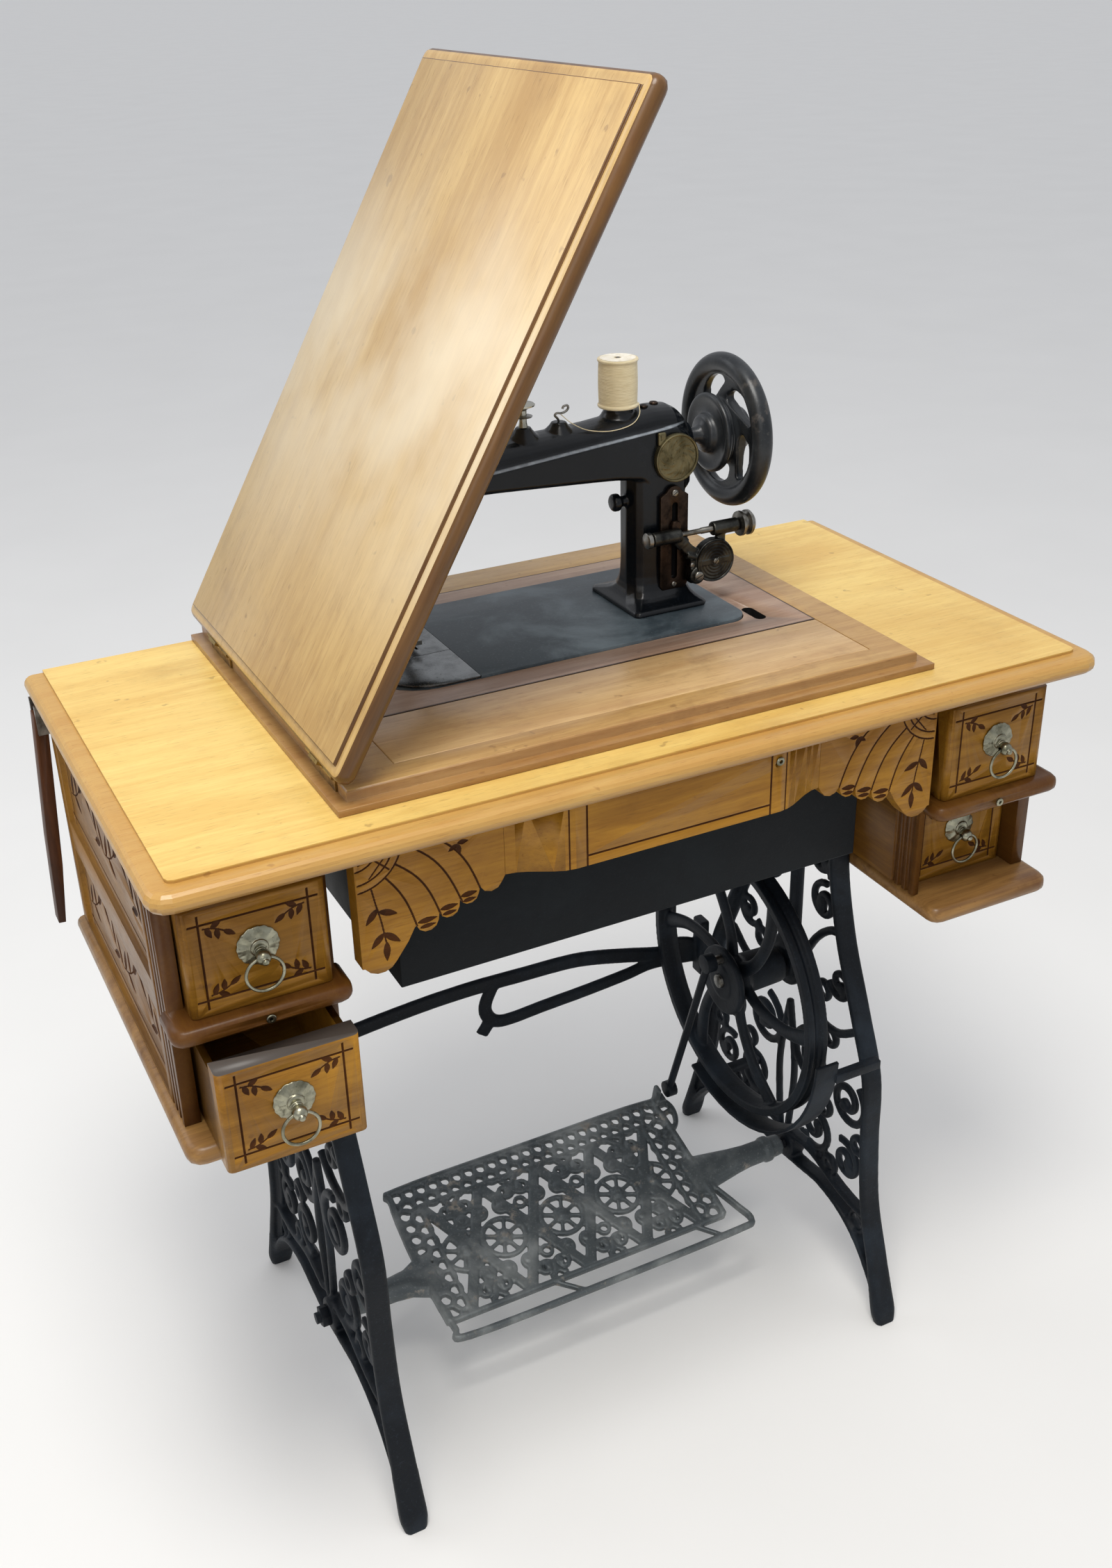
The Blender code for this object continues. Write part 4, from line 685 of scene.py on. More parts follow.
def spray(base, along, across, length):
    """A bent stem with pairs of broad leaves: along and across are unit steps on the face."""
    def at(a, b):
        return (base[0] + along[0] * a * length + across[0] * b * length,
                base[1] + along[1] * a * length + across[1] * b * length)
    bend = [(t, 0.42 * t * t) for t in (0, 0.2, 0.4, 0.6, 0.8)]
    strokes = [([at(a, b) for a, b in bend], 0.0006, 0.0007)]
    leaves = []
    for t, turn, reach in ((0.10, 66, 0.52), (0.30, -28, 0.50), (0.52, 84, 0.50), (0.80, 34, 0.54)):
        root_b = 0.42 * t * t
        tip = (t + reach * math.cos(math.radians(turn)), root_b + reach * math.sin(math.radians(turn)))
        leaves.append((at(t, root_b), at(*tip), 0.0024, 0.0010))
    return strokes, leaves


def board_slot():
    """The board under the head, with its slot cut in beside the bed; the slot's cut faces are black, painted
    shade.
    """
    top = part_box("machine_board")[1][2] - ORIGIN.z
    cutter = prism("slot", slot_outline(0.1995, -0.0374, -0.0166, 0.0060, 28), top - 0.007, top + 0.01, "XY")
    cutter.data.transform(Matrix.Translation(ORIGIN))
    # black cut faces in the slot: painted shade
    cutter.data.materials.append(M["slot_shade"])
    board = subtract(copy_of("machine_board", "board", "board"), [cutter], transfer=True)
    show(board, "cabinet", None, ("machine_board",), local=False)


def carved_drawers():
    """Drawer fronts with a crossed border and a spray in each corner."""
    for label, sign, front, low in FRONTS:
        x0, x1 = (0.3060, 0.4225) if sign > 0 else (-0.4225, -0.3060)
        u0, u1 = x0 + 0.0145, x1 - 0.0150
        v0, v1 = low + 0.0140, low + 0.0825
        strokes = crossed_frame(u0, u1, v0, v1, 0.0075, 0.0011)
        leaves = []
        for u, su in ((u0, 1), (u1, -1)):
            for v, sv in ((v0, 1), (v1, -1)):
                more, foliage = spray((u + su * 0.0035, v + sv * 0.0040), (su, 0), (0, sv), 0.0195)
                strokes += more
                leaves += foliage
        cutter = groove_cutter("cutter", strokes, leaves,
                               lambda u, v, h, y=front: Vector((u, y - h, v)) + ORIGIN)
        carve(label + "_drawer", label + "_drawer", "drawer", [cutter])


def carved_brackets():
    """Apron brackets with rings, swags, leaves and a lobed edge."""
    top = -0.0213
    for name, sign in (("left", -1), ("right", 1)):
        strokes, leaves = [], []
        for radius in (0.041, 0.034, 0.0215):
            turn = [math.radians(a) for a in range(2, 90, 5)]
            strokes.append(([(radius * math.cos(a), top - radius * math.sin(a)) for a in turn],
                            0.0007, 0.0009))
        for start, end, bend in (((0.058, top - 0.002), (0.1070, -0.0905), 0.010),
                                 ((0.0405, top - 0.006), (0.0895, -0.0955), 0.009),
                                 ((0.034, top - 0.0225), (0.0705, -0.1030), 0.007),
                                 ((0.025, top - 0.0325), (0.0490, -0.1060), 0.004)):
            path = []
            for i in range(15):
                t = i / 14
                swing = bend * math.sin(math.pi * t)
                path.append((start[0] + (end[0] - start[0]) * t + swing * 0.6,
                             start[1] + (end[1] - start[1]) * t + swing * 0.8))
            strokes.append((path, 0.0007, 0.0009))
        for a, b in (((0.004, top - 0.016), (0.022, top - 0.003)), ((0.012, top - 0.030), (0.031,
                                                                                           top - 0.008)),
                     ((0.006, top - 0.004), (0.029, top - 0.026)), ((0.018, top - 0.002), (0.037,
                                                                                           top - 0.015))):
            strokes.append(([a, b], 0.0006, 0.0007))
        stem = [(0.013, top - 0.0405), (0.0155, -0.0760), (0.0190, -0.0930), (0.0225, -0.1180)]
        strokes.append(([tuple(p)[:2] for p in curve_through([(a, b, 0) for a, b in stem], 5)],
                        0.0006, 0.0007))
        for base, tip in (((0.0165, -0.0800), (0.0060, -0.0930)), ((0.0175, -0.0830), (0.0330, -0.0890)),
                          ((0.0205, -0.1040), (0.0090, -0.1160)), ((0.0205, -0.1040), (0.0340, -0.1160)),
                          ((0.0222, -0.1130), (0.0215, -0.1310))):
            leaves.append((base, tip, 0.0030, 0.0011))
        for base, tip in (((0.088, -0.040), (0.0975, -0.0400)), ((0.088, -0.041), (0.0800, -0.0455)),
                          ((0.088, -0.041), (0.0900, -0.0505))):
            leaves.append((base, tip, 0.0022, 0.0009))
        for u, v, r in ((0.0583, -0.1040, 0.0098), (0.0778, -0.0975, 0.0090), (0.0958, -0.0905, 0.0084)):
            leaves.append(((u - r * 0.88, v + 0.0006), (u + r * 0.88, v + 0.0014), 0.0026, 0.0014))
            leaves.append(((u - r * 0.70, v - 0.0048), (u + r * 0.70, v - 0.0040), 0.0020, 0.0014))

        def to_space(u, v, h, sign=sign):
            return Vector((sign * (0.2838 - u), BRACKET_Y - h, v)) + ORIGIN
        cutter = groove_cutter("cutter", strokes, leaves, to_space)
        carve("apron_bracket_" + name, "cabinet", "apron", [cutter])


def carved_cases():
    """Pedestal sides with two bordered panels of leaves."""
    for name, sign in (("left", -1), ("right", 1)):
        strokes, leaves = [], []
        for z0, z1 in ((-0.249, -0.164), (-0.136, -0.042)):
            v0, v1, u0, u1 = z0 + 0.012, z1 - 0.012, -0.120, 0.155
            strokes += crossed_frame(u0, u1, v0, v1, 0.008, 0.0010)
            middle = (v0 + v1) / 2
            for u, su in ((u0 + 0.006, 1), (u1 - 0.006, -1), (0.0175, 1), (0.0175, -1)):
                more, foliage = spray((u, middle - 0.008), (su, 0.15), (0, 1), 0.052)
                strokes += more
                leaves += [(a, b, w * 1.8, d * 1.3) for a, b, w, d in foliage]

        def to_space(u, v, h, sign=sign):
            return Vector((sign * (0.4330 + h), u, v)) + ORIGIN
        cutter = groove_cutter("cutter", strokes, leaves, to_space, 0.0007)
        carve(name + "_pedestal_case", "cabinet", "case", [cutter])


def carved_apron():
    """Centre panel with its border lines, which follow its bowed face."""
    low = -0.0810
    strokes = []
    for x in (0.0896, 0.1055):
        for s in (-1, 1):
            strokes.append(([(s * x, low - 0.004), (s * x, -0.015)], 0.0008, 0.0010))
    strokes.append(([(-0.0896, low + 0.0095), (0.0896, low + 0.0095)], 0.0008, 0.0010))

    def to_space(u, v, h):
        t = min(1.0, max(0.0, (abs(u) - 0.100) / 0.0549))
        y = BRACKET_Y - 0.0205 * (1 - t * t * (3 - 2 * t))
        return Vector((u, y - h, v)) + ORIGIN
    carve("centre_apron", "cabinet", "apron", [groove_cutter("cutter", strokes, [], to_space)])


def pulls():
    """Rayed rosettes with an eyed ball, and the rings that hang in the eyes."""
    for label, sign, front, low in FRONTS:
        drawer = label + "_drawer"
        x, y, z = sign * 0.36425, front - 0.0003, low + 0.0525
        eye = Vector((x, front - 0.0125, z - 0.0045))

        def rays(r, a, h):
            if h < 0.0012:
                return 0.0
            wave = abs((a * 8 / math.pi) % 2 - 1)
            return 0.0010 * (wave - 0.5) * min(1.0, max(0.0, (r - 0.0066) / 0.006))
        profile = [(0, 0), (0.0170, 0), (0.0176, 0.0006), (0.0174, 0.0014), (0.0160, 0.0020),
                   (0.0130, 0.0030), (0.0098, 0.0037), (0.0074, 0.0042), (0.0070, 0.0056), (0.0058, 0.0062),
                   (0.0048, 0.0064), (0, 0.0064)]
        disc = turned("pull", profile, (x, y, z), FORWARD, 160, rays)
        for v in disc.data.vertices:
            dx, dz = v.co.x - x, v.co.z - z
            r, a = math.hypot(dx, dz), math.atan2(dz, dx)
            if r > 0.0155:
                pull = 1 - 0.035 * (1 - abs(math.cos(8 * a)))
                v.co.x, v.co.z = x + dx * pull, z + dz * pull
        neck = turned("pull", ((0, -0.004), (0.0052, -0.004), (0.0046, 0.0010), (0.0050, 0.0030),
                               (0, 0.0030)), eye + Vector((0, 0.0078, 0.0020)), (0, -1, -0.2), 32)
        ball = turned("pull", [(0.0064 * math.sin(math.pi * i / 14), -0.0064 * math.cos(math.pi * i / 14))
                               for i in range(15)], eye, FORWARD, 32)
        nose = turned("pull", ((0, 0), (0.0030, 0), (0.0028, 0.0018), (0.0018, 0.0030), (0, 0.0034)),
                      eye + Vector((0, -0.0052, -0.0010)), (0, -1, -0.2), 24)
        rosette = cast("rosette", [disc, neck, ball, nose], 0.00042, 1)
        subtract(rosette, [bore(eye - Vector((0.02, 0, 0)), eye + Vector((0.02, 0, 0)), 0.0023)])
        show(rosette, drawer, "old_nickel", (drawer + "_rosette",), angle=50)
        loop = [eye + Vector((0.0152 * math.sin(a), 0, 0.0152 * math.cos(a) - 0.0152))
                for a in angles(72)]
        ring = sweep("ring", loop, ring_section(0.0014, 0.0014, 16), closed=True, up=(0, 1, 0))
        show(ring, drawer + "_ring", "old_nickel", (drawer + "_ring",))


def lock_bushings():
    """Small turned bushings in the locks of the shelf lips and the centre panel."""
    for name, x, y, z in (("left", -0.3643, -0.2130, -0.1475), ("right", 0.3643, -0.2130, -0.1475),
                          ("middle", 0.0975, BRACKET_Y - 0.0205, -0.0310)):
        bush = turned("lock_bushing_" + name, ((0.0014, -0.0040), (0.0030, -0.0040), (0.0030, 0.0006),
                                               (0.0038, 0.0008), (0.0040, 0.0014), (0.0034, 0.0020),
                                               (0.0018, 0.0020), (0.0014, 0.0012), (0.0014, -0.0040)),
                      (x, y, z), FORWARD, 36)
        show(bush, "cabinet", "old_nickel")


# ---------------------------------------------------------------- machine head
def loft(name, rings):
    """Closed body through rings of equally many points."""
    n = len(rings[0])
    verts = [Vector(p) for ring in rings for p in ring]
    faces = []
    for k in range(len(rings) - 1):
        a, b = k * n, (k + 1) * n
        faces += [(a + i, a + (i + 1) % n, b + (i + 1) % n, b + i) for i in range(n)]
    faces += [tuple(range(n))[::-1], tuple(range((len(rings) - 1) * n, len(rings) * n))]
    return tidied(solid(name, verts, faces))


def arm_section(x):
    """Section of the arm: flat front, a chamfer to the ridge, and a domed top."""
    stations = (-0.1550, -0.1430, -0.0900, -0.0430, 0.0000, 0.0600, 0.0850, 0.1100, 0.1300, 0.1480,
                0.1580, 0.1645, 0.1680)
    top = (0.1915, 0.1958, 0.1966, 0.1970, 0.1982, 0.2008, 0.2035, 0.2072, 0.2094, 0.2084,
           0.2030, 0.1940, 0.1840)
    ridge = (0.1680, 0.1690, 0.1725, 0.1765, 0.1800, 0.1850, 0.1876, 0.1902, 0.1918, 0.1900,
             0.1850, 0.1780, 0.1720)
    low = (0.1560, 0.1560, 0.1580, 0.1570, 0.1545, 0.1508, 0.1490, 0.1450, 0.1290, 0.1270,
           0.1280, 0.1330, 0.1420)
    front = (0.0340, 0.0312, 0.0310, 0.0310, 0.0310, 0.0310, 0.0310, 0.0310, 0.0310, 0.0312,
             0.0330, 0.0370, 0.0430)
    back = (0.0820, 0.0845, 0.0850, 0.0850, 0.0850, 0.0850, 0.0850, 0.0850, 0.0850, 0.0845,
            0.0825, 0.0790, 0.0730)
    t, r, b, f, k = (float(np.interp(x, stations, row)) for row in (top, ridge, low, front, back))
    width = k - f
    points = [(f + 0.0035, b), (f, b + 0.0030), (f, r - 0.0002), (f + 0.0040, r + 0.0022)]
    for i in range(1, 12):
        a = math.pi * i / 12
        middle = f + 0.004 + (width - 0.004) * 0.52
        reach = (width - 0.004) * (0.52 if i < 6 else 0.48)
        y = middle - reach * math.cos(a)
        base = r + 0.0022 if i < 6 else r - 0.010
        z = base + (t - base) * math.sin(a) ** 0.75
        points.append((y, z))
    points += [(k, r - 0.012), (k, b + 0.008), (k - 0.007, b)]
    return points


def arm():
    """Arm and pillar melted into one casting, with its bores and fittings."""
    stations = list(np.linspace(-0.155, -0.143, 4)) + list(np.linspace(-0.130, 0.100, 14))
    stations += list(np.linspace(0.108, 0.168, 16))
    wedge = loft("arm_part", [[(x, y, z) for y, z in arm_section(x)] for x in stations])
    shaft = [(0.1190, 0.0308), (0.1540, 0.0308), (0.1580, 0.0350), (0.1580, 0.0720), (0.1500, 0.0800),
             (0.1240, 0.0800), (0.1080, 0.0720), (0.1012, 0.0600), (0.1006, 0.0480), (0.1050, 0.0380),
             (0.1115, 0.0325)]
    foot = [(0.1060, 0.0098), (0.1666, 0.0098), (0.1708, 0.0140), (0.1708, 0.1020), (0.1660, 0.1062),
            (0.1100, 0.1062), (0.0945, 0.1062), (0.0908, 0.1000), (0.0908, 0.0300), (0.0908, 0.0135),
            (0.0945, 0.0098)]
    base_z = 0.0179
    rings = []
    for z, spread in ((0.0, 1.0), (0.0030, 0.985), (0.0044, 0.93), (0.0064, 0.72), (0.0090, 0.50),
                      (0.0125, 0.30), (0.0170, 0.155), (0.0230, 0.065), (0.0310, 0.02), (0.0450, 0.0),
                      (0.0800, 0.0), (0.1300, 0.0)):
        rings.append([(a[0] + (b[0] - a[0]) * spread, a[1] + (b[1] - a[1]) * spread, base_z + 0.0003 + z)
                      for a, b in zip(shaft, foot)])
    pillar = loft("arm_part", rings)
    head = box("arm_part", (-0.1550, ARM_Y0 + 0.001, 0.0880), (-0.0950, ARM_Y1 - 0.001, 0.1720), 0.0065)
    seat = turned("arm_part", ((0, 0), (0.0185, 0), (0.0180, 0.0030), (0.0150, 0.0080), (0.0138, 0.0098),
                               (0.0138, 0.0132), (0, 0.0132)), (0.099, 0.060, 0.1980), UP, 40)
    lumps = []
    for x in (0.0360, 0.0000):
        lumps.append(turned("arm_part", ((0, 0), (0.0175, 0), (0.0130, 0.0045), (0.0085, 0.0090),
                                         (0.0068, 0.0120), (0, 0.0120)), (x, HEAD_Y, 0.1945), UP, 32))
    knob = turned("arm_part", ((0, 0), (0.0050, 0), (0.0052, 0.0060), (0.0085, 0.0080), (0.0085, 0.0135),
                               (0.0060, 0.0155), (0, 0.0160)), (0.1010, 0.050, 0.1230), (-1, 0, 0), 28)
    collar = turned("arm_part", ((0, 0), (0.0165, 0), (0.0160, 0.0060), (0.0135, 0.0085), (0, 0.0085)),
                    (0.1640, HEAD_Y, 0.173), RIGHT, 36)
    body = cast("arm", [wedge, pillar, head, seat, knob, collar] + lumps, 0.0011, 3)
    cutters = [bore((-0.126, HEAD_Y, 0.05), (-0.126, HEAD_Y, 0.250), 0.0047),
               bore((-0.126, HEAD_Y + 0.018, 0.05), (-0.126, HEAD_Y + 0.018, 0.26), 0.0047),
               bore((0.140, HEAD_Y, 0.173), (0.200, HEAD_Y, 0.173), 0.0083),
               box("bore", (-0.1300, 0.0, 0.1250), (-0.1220, ARM_Y0 + 0.012, 0.1860))]
    subtract(body, cutters)
    show(body, "cabinet", "japan", ("arm_casting",), angle=60)
    pin = turned("spool_pin", ((0, 0), (0.0022, 0), (0.0022, 0.0440), (0.0015, 0.0462), (0, 0.0466)),
                 (0.099, 0.060, 0.2105), UP, 20)
    show(pin, "cabinet", "steel")
    screws = []
    for x, y, z in ((0.1240, 0.0560, 0.2085), (0.1370, 0.0600, 0.2092)):
        screws.append(turned("oil_cap", ((0, 0), (0.0042, 0), (0.0042, 0.0012), (0.0034, 0.0020),
                                         (0.0022, 0.0014), (0, 0.0012)), (x, y, z - 0.0006), (0.05, 0, 1),
                             24))
    show(join("oil_caps", screws), "cabinet", "browned")


def slotted_screw(place, axis, radius, height, turn=0.6):
    """Round-headed screw with its slot cut in."""
    head = turned("screw", ((0, -0.001), (radius * 0.96, -0.001), (radius, 0), (radius, height * 0.55),
                            (radius * 0.88, height * 0.85), (radius * 0.6, height), (0, height)),
                  (0, 0, 0), UP, 28)
    slot = box("slot", (-radius * 1.2, -radius * 0.13, height * 0.45), (radius * 1.2, radius * 0.13,
                                                                        height * 2))
    subtract(head, [slot])
    look = Vector(axis).to_track_quat("Z", "Y").to_matrix().to_4x4()
    head.data.transform(Matrix.Translation(place) @ look @ Matrix.Rotation(turn, 4, "Z"))
    return head


def thread_spool():
    """Reel of thread with its ends, paper label and loose tail."""
    low = 0.2115
    profile = [(0.0030, 0.0445), (0.0160, 0.0445), (0.0186, 0.0443), (0.0190, 0.0437), (0.0190, 0.0426),
               (0.0184, 0.0418)]
    turns = 46
    for i in range(turns * 3 + 1):
        z = 0.0412 - (0.0412 - 0.0036) * i / (turns * 3)
        swell = 0.0177 + 0.0005 * math.sin(math.pi * (z - 0.0036) / 0.0376)
        profile.append((swell + (0.00022 if i % 3 == 1 else 0.0), z))
    profile += [(0.0184, 0.0030), (0.0190, 0.0022), (0.0190, 0.0008), (0.0184, 0.0), (0.0030, 0.0),
                (0.0030, 0.0445)]
    reel = turned("reel", profile, (0.099, 0.060, low), UP, 72)
    show(reel, "spool", "thread", ("thread_spool",), angle=60)
    label = turned("reel_label", ((0.0034, 0), (0.0166, 0), (0.0166, 0.0003), (0.0034, 0.0003), (0.0034, 0)),
                   (0.099, 0.060, low + 0.04455), UP, 48)
    show(label, "spool", "spool_end")
    path = curve_through([(0.1145, 0.0485, 0.2150), (0.1110, 0.0405, 0.2070), (0.1020, 0.0360, 0.2005),
                          (0.0880, 0.0345, 0.1975), (0.0720, 0.0360, 0.1970), (0.0560, 0.0420, 0.1995),
                          (0.0450, 0.0500, 0.2055), (0.0375, 0.0562, 0.2130)], 7)
    tail = sweep("thread_tail", path, ring_section(0.0004, 0.0004, 8))
    show(tail, "cabinet", "thread")


def thread_fittings():
    """Nipper with its disc cap, and the wire loop of the guide."""
    post = turned("nipper", ((0, 0), (0.0048, 0), (0.0042, 0.0030), (0.0036, 0.0060), (0.0036, 0.0170),
                             (0.0060, 0.0190), (0.0095, 0.0204), (0.0112, 0.0212), (0.0114, 0.0224),
                             (0.0102, 0.0234), (0.0040, 0.0241), (0.0032, 0.0252), (0, 0.0254)),
                  (0.0, HEAD_Y, 0.2045), UP, 40)
    show(post, "cabinet", "nickel", ("thread_nipper",))
    plate = turned("nipper_disc", ((0.0038, 0), (0.0086, 0.0006), (0.0090, 0.0014), (0.0060, 0.0022),
                                   (0.0038, 0.0022), (0.0038, 0)), (0.0, HEAD_Y, 0.2150), UP, 36)
    show(plate, "cabinet", "steel")
    loop = curve_through([(0.0360, 0.0580, 0.2020), (0.0358, 0.0576, 0.2075), (0.0335, 0.0566, 0.2105),
                          (0.0312, 0.0558, 0.2130), (0.0330, 0.0552, 0.2150), (0.0375, 0.0550, 0.2145),
                          (0.0420, 0.0552, 0.2155), (0.0448, 0.0556, 0.2180), (0.0440, 0.0560, 0.2205),
                          (0.0405, 0.0562, 0.2200), (0.0392, 0.0562, 0.2178)], 7)
    wire = sweep("guide_wire", loop, ring_section(0.0011, 0.0011, 12))
    show(wire, "cabinet", "steel", ("thread_guide",))


def medallion():
    """Round badge: a raised rim, a worn wreath of leaves and a plain worn middle."""
    radius, centre = 0.0230, Vector((0.1440, ARM_Y0 - 0.0003, 0.1635))

    def relief(r, a, h):
        if h < 0.0030:
            return 0.0
        t = r / radius
        leaf = max(0.0, math.cos(13 * a + 22 * t)) ** 2 * math.exp(-((t - 0.66) / 0.13) ** 2)
        inner = max(0.0, math.cos(5 * a + 14 * t)) * math.exp(-((t - 0.34) / 0.12) ** 2)
        bead = (0.5 + 0.5 * math.cos(60 * a)) * math.exp(-((t - 0.86) / 0.03) ** 2)
        return 0.00050 * leaf + 0.00035 * inner + 0.00030 * bead
    profile = [(0, 0.0036)] + [(radius * t, 0.0036) for t in np.linspace(0.04, 0.89, 34)]
    profile += [(radius * 0.905, 0.0048), (radius * 0.95, 0.0053), (radius * 0.985, 0.0048),
                (radius, 0.0036), (radius, 0.0), (0, 0.0)]
    disc = turned("badge_disc", profile, centre, FORWARD, 240, relief)
    lug = box("badge_lug", (0.1240, ARM_Y0 - 0.0038, 0.1770), (0.1325, ARM_Y0 - 0.0003, 0.1895), 0.0016)
    tack = turned("tack", ((0, 0), (0.0022, 0), (0.0020, 0.0008), (0, 0.0012)),
                  (0.1282, ARM_Y0 - 0.0038, 0.1858), FORWARD, 20)
    show(join("badge", [disc, lug, tack]), "cabinet", "badge", ("badge",))


def regulator():
    """Long stitch plate down the pillar, with ogee top, two slots and its screws."""
    y0, y1 = ARM_Y0 - 0.0046, ARM_Y0 - 0.0004
    x0, x1, z0, z1 = 0.1262, 0.1565, 0.0345, 0.1300
    xm = (x0 + x1) / 2
    outline = [(x0 + 0.003, z0), (x1 - 0.003, z0), (x1, z0 + 0.004), (x1, z1 - 0.003), (x1 - 0.004, z1)]
    outline += [(xm + 0.0085, z1 + 0.0010), (xm + 0.0065, z1 + 0.0045), (xm + 0.0035, z1 + 0.0066),
                (xm, z1 + 0.0072), (xm - 0.0035, z1 + 0.0066), (xm - 0.0065, z1 + 0.0045),
                (xm - 0.0085, z1 + 0.0010), (x0 + 0.004, z1), (x0, z1 - 0.003), (x0, z0 + 0.004)]
    plate = prism("stitch", outline, y0, y1, "XZ")
    slots = [prism("slot", slot_outline(xm + 0.0005, low, high, 0.0030, 20), y0 - 0.01, y1 + 0.01, "XZ")
             for low, high in ((0.1010, 0.1180), (0.0480, 0.0790))]
    subtract(plate, slots)
    bevel = plate.modifiers.new("Bevel", "BEVEL")
    bevel.width, bevel.segments, bevel.limit_method = 0.0006, 2, "ANGLE"
    bake(plate)
    show(plate, "cabinet", "browned", ("stitch_plate",))
    parts = [slotted_screw((xm, y0, 0.1305), FORWARD, 0.0034, 0.0018),
             slotted_screw((xm, y0, 0.0395), FORWARD, 0.0026, 0.0014, 1.4)]
    show(join("stitch_screws", parts), "cabinet", "steel")
    stud = turned("stitch_lever", ((0, 0), (0.0024, 0), (0.0024, 0.0040), (0.0052, 0.0046), (0.0056, 0.0070),
                                   (0.0048, 0.0084), (0, 0.0088)), (xm, ARM_Y0 - 0.0005, 0.0985), FORWARD, 32)
    show(stud, "cabinet", "browned")
    # Black sheet behind the two slots: painted shade seen through them.
    shade_sheet = box("stitch_slots_shade", (xm - 0.0052, ARM_Y0 - 0.0009, 0.0440), (xm + 0.0052,
                                                                                ARM_Y0 - 0.0003, 0.1215))
    show(shade_sheet, "cabinet", "slot_shade")


def winder():
    """Bobbin winder: swinging bracket, engraved counter disc, two bearings and the spindle."""
    y, z = 0.0200, 0.0905       # the spindle's axis
    outline = curve_through([(0.1545, 0.0405, 0), (0.1620, 0.0400, 0), (0.1690, 0.0450, 0),
                             (0.1700, 0.0540, 0),
                             (0.1680, 0.0640, 0), (0.1640, 0.0720, 0), (0.1560, 0.0790, 0), (0.1500, 0.0850, 0),
                             (0.1440, 0.0850, 0), (0.1450, 0.0760, 0), (0.1520, 0.0680, 0),
                             (0.1550, 0.0580, 0), (0.1530, 0.0480, 0), (0.1545, 0.0405, 0)], 5)[:-1]
    bracket = prism("w", [(p.x, p.y) for p in outline], 0.0165, 0.0258, "XZ")
    boss = turned("w", ((0, 0), (0.0085, 0), (0.0085, 0.0040), (0.0070, 0.0050), (0, 0.0050)),
                  (0.1610, 0.0180, 0.0480), FORWARD, 32)
    left = turned("w", ((0, 0), (0.0058, 0), (0.0068, 0.0010), (0.0068, 0.0300), (0.0058, 0.0310),
                        (0, 0.0310)), (0.1130, y, z), RIGHT, 36)
    right = turned("w", ((0, 0), (0.0060, 0), (0.0068, 0.0012), (0.0068, 0.0278), (0.0058, 0.0290),
                         (0, 0.0290)), (0.1790, y, z), RIGHT, 36)
    neck = sweep("w", curve_through([(0.1480, y, 0.0800), (0.1430, y, 0.0860), (0.1390, y, z)], 6),
                 ring_section(0.0075, 0.0042, 16))
    rail = sweep("w", curve_through([(0.1500, y, 0.0700), (0.1600, y, 0.0660), (0.1700, y, 0.0640),
                                     (0.1800, y, 0.0640)], 6), ring_section(0.0060, 0.0042, 16), up=(0, 1, 0))
    post = sweep("w", [(0.1890, y, 0.0680), (0.1890, y, 0.0780), (0.1890, y, z)],
                 ring_section(0.0055, 0.0038, 16))
    drum = turned("w", ((0, 0), (0.0205, 0), (0.0215, 0.0012), (0.0215, 0.0090), (0.0205, 0.0100),
                        (0, 0.0100)), (0.1800, 0.0240, 0.0600), FORWARD, 56)
    body = cast("winder", [bracket, boss, left, right, neck, rail, post, drum], 0.0007, 3)
    subtract(body, [bore((0.1, y, z), (0.25, y, z), 0.0036)])
    show(body, "bobbin_winder", "bronze", ("bobbin_winder",), angle=60)

    def engraving(r, a, h):
        if h < 0.0010:
            return 0.0
        across, up = r * math.cos(a), r * math.sin(a)
        rings = -0.00035 * (0.5 + 0.5 * math.cos(math.tau * r / 0.0031)) * (1 if abs(up) > 0.0032 else 0)
        bar = 0.00040 if abs(up) < 0.0026 and abs(across) < 0.0150 else 0.0
        return rings + bar
    profile = [(0, 0.0014)] + [(r, 0.0014) for r in np.linspace(0.0006, 0.0185, 40)]
    profile += [(0.0190, 0.0020), (0.0203, 0.0020), (0.0207, 0.0012), (0.0207, 0.0), (0, 0.0)]
    face = turned("winder_disc", profile, (0.1800, 0.0140, 0.0600), FORWARD, 160, engraving)
    show(face, "bobbin_winder", "bronze")
    screws = [slotted_screw((0.1610, 0.0130, 0.0480), FORWARD, 0.0050, 0.0028, 0.4),
              slotted_screw((0.1560, 0.0165, 0.0590), FORWARD, 0.0026, 0.0016, 1.2),
              slotted_screw((0.1800, 0.0125, 0.0600), FORWARD, 0.0030, 0.0016, 0.9),
              slotted_screw((0.1640, y - 0.0035, 0.0650), FORWARD, 0.0024, 0.0016, 0.2)]
    show(join("winder_screws", screws), "bobbin_winder", "steel")
    spindle = turned("spindle", ((0, 0), (0.0060, 0), (0.0076, 0.0010), (0.0076, 0.0050), (0.0062, 0.0062),
                                 (0.0031, 0.0066), (0.0031, 0.0340), (0.0031, 0.0380), (0.0026, 0.0390),
                                 (0.0026, 0.0600), (0.0031, 0.0610), (0.0031, 0.1026), (0.0085, 0.1030),
                                 (0.0120, 0.1036), (0.0122, 0.1062), (0.0092, 0.1080), (0.0090, 0.1104),
                                 (0.0122, 0.1122), (0.0122, 0.1150), (0.0100, 0.1172), (0.0050, 0.1176),
                                 (0.0046, 0.1160), (0, 0.1160)), (0.1060, y, z), RIGHT, 44)
    show(spindle, "winder_spindle", "steel", ("winder_spindle",))


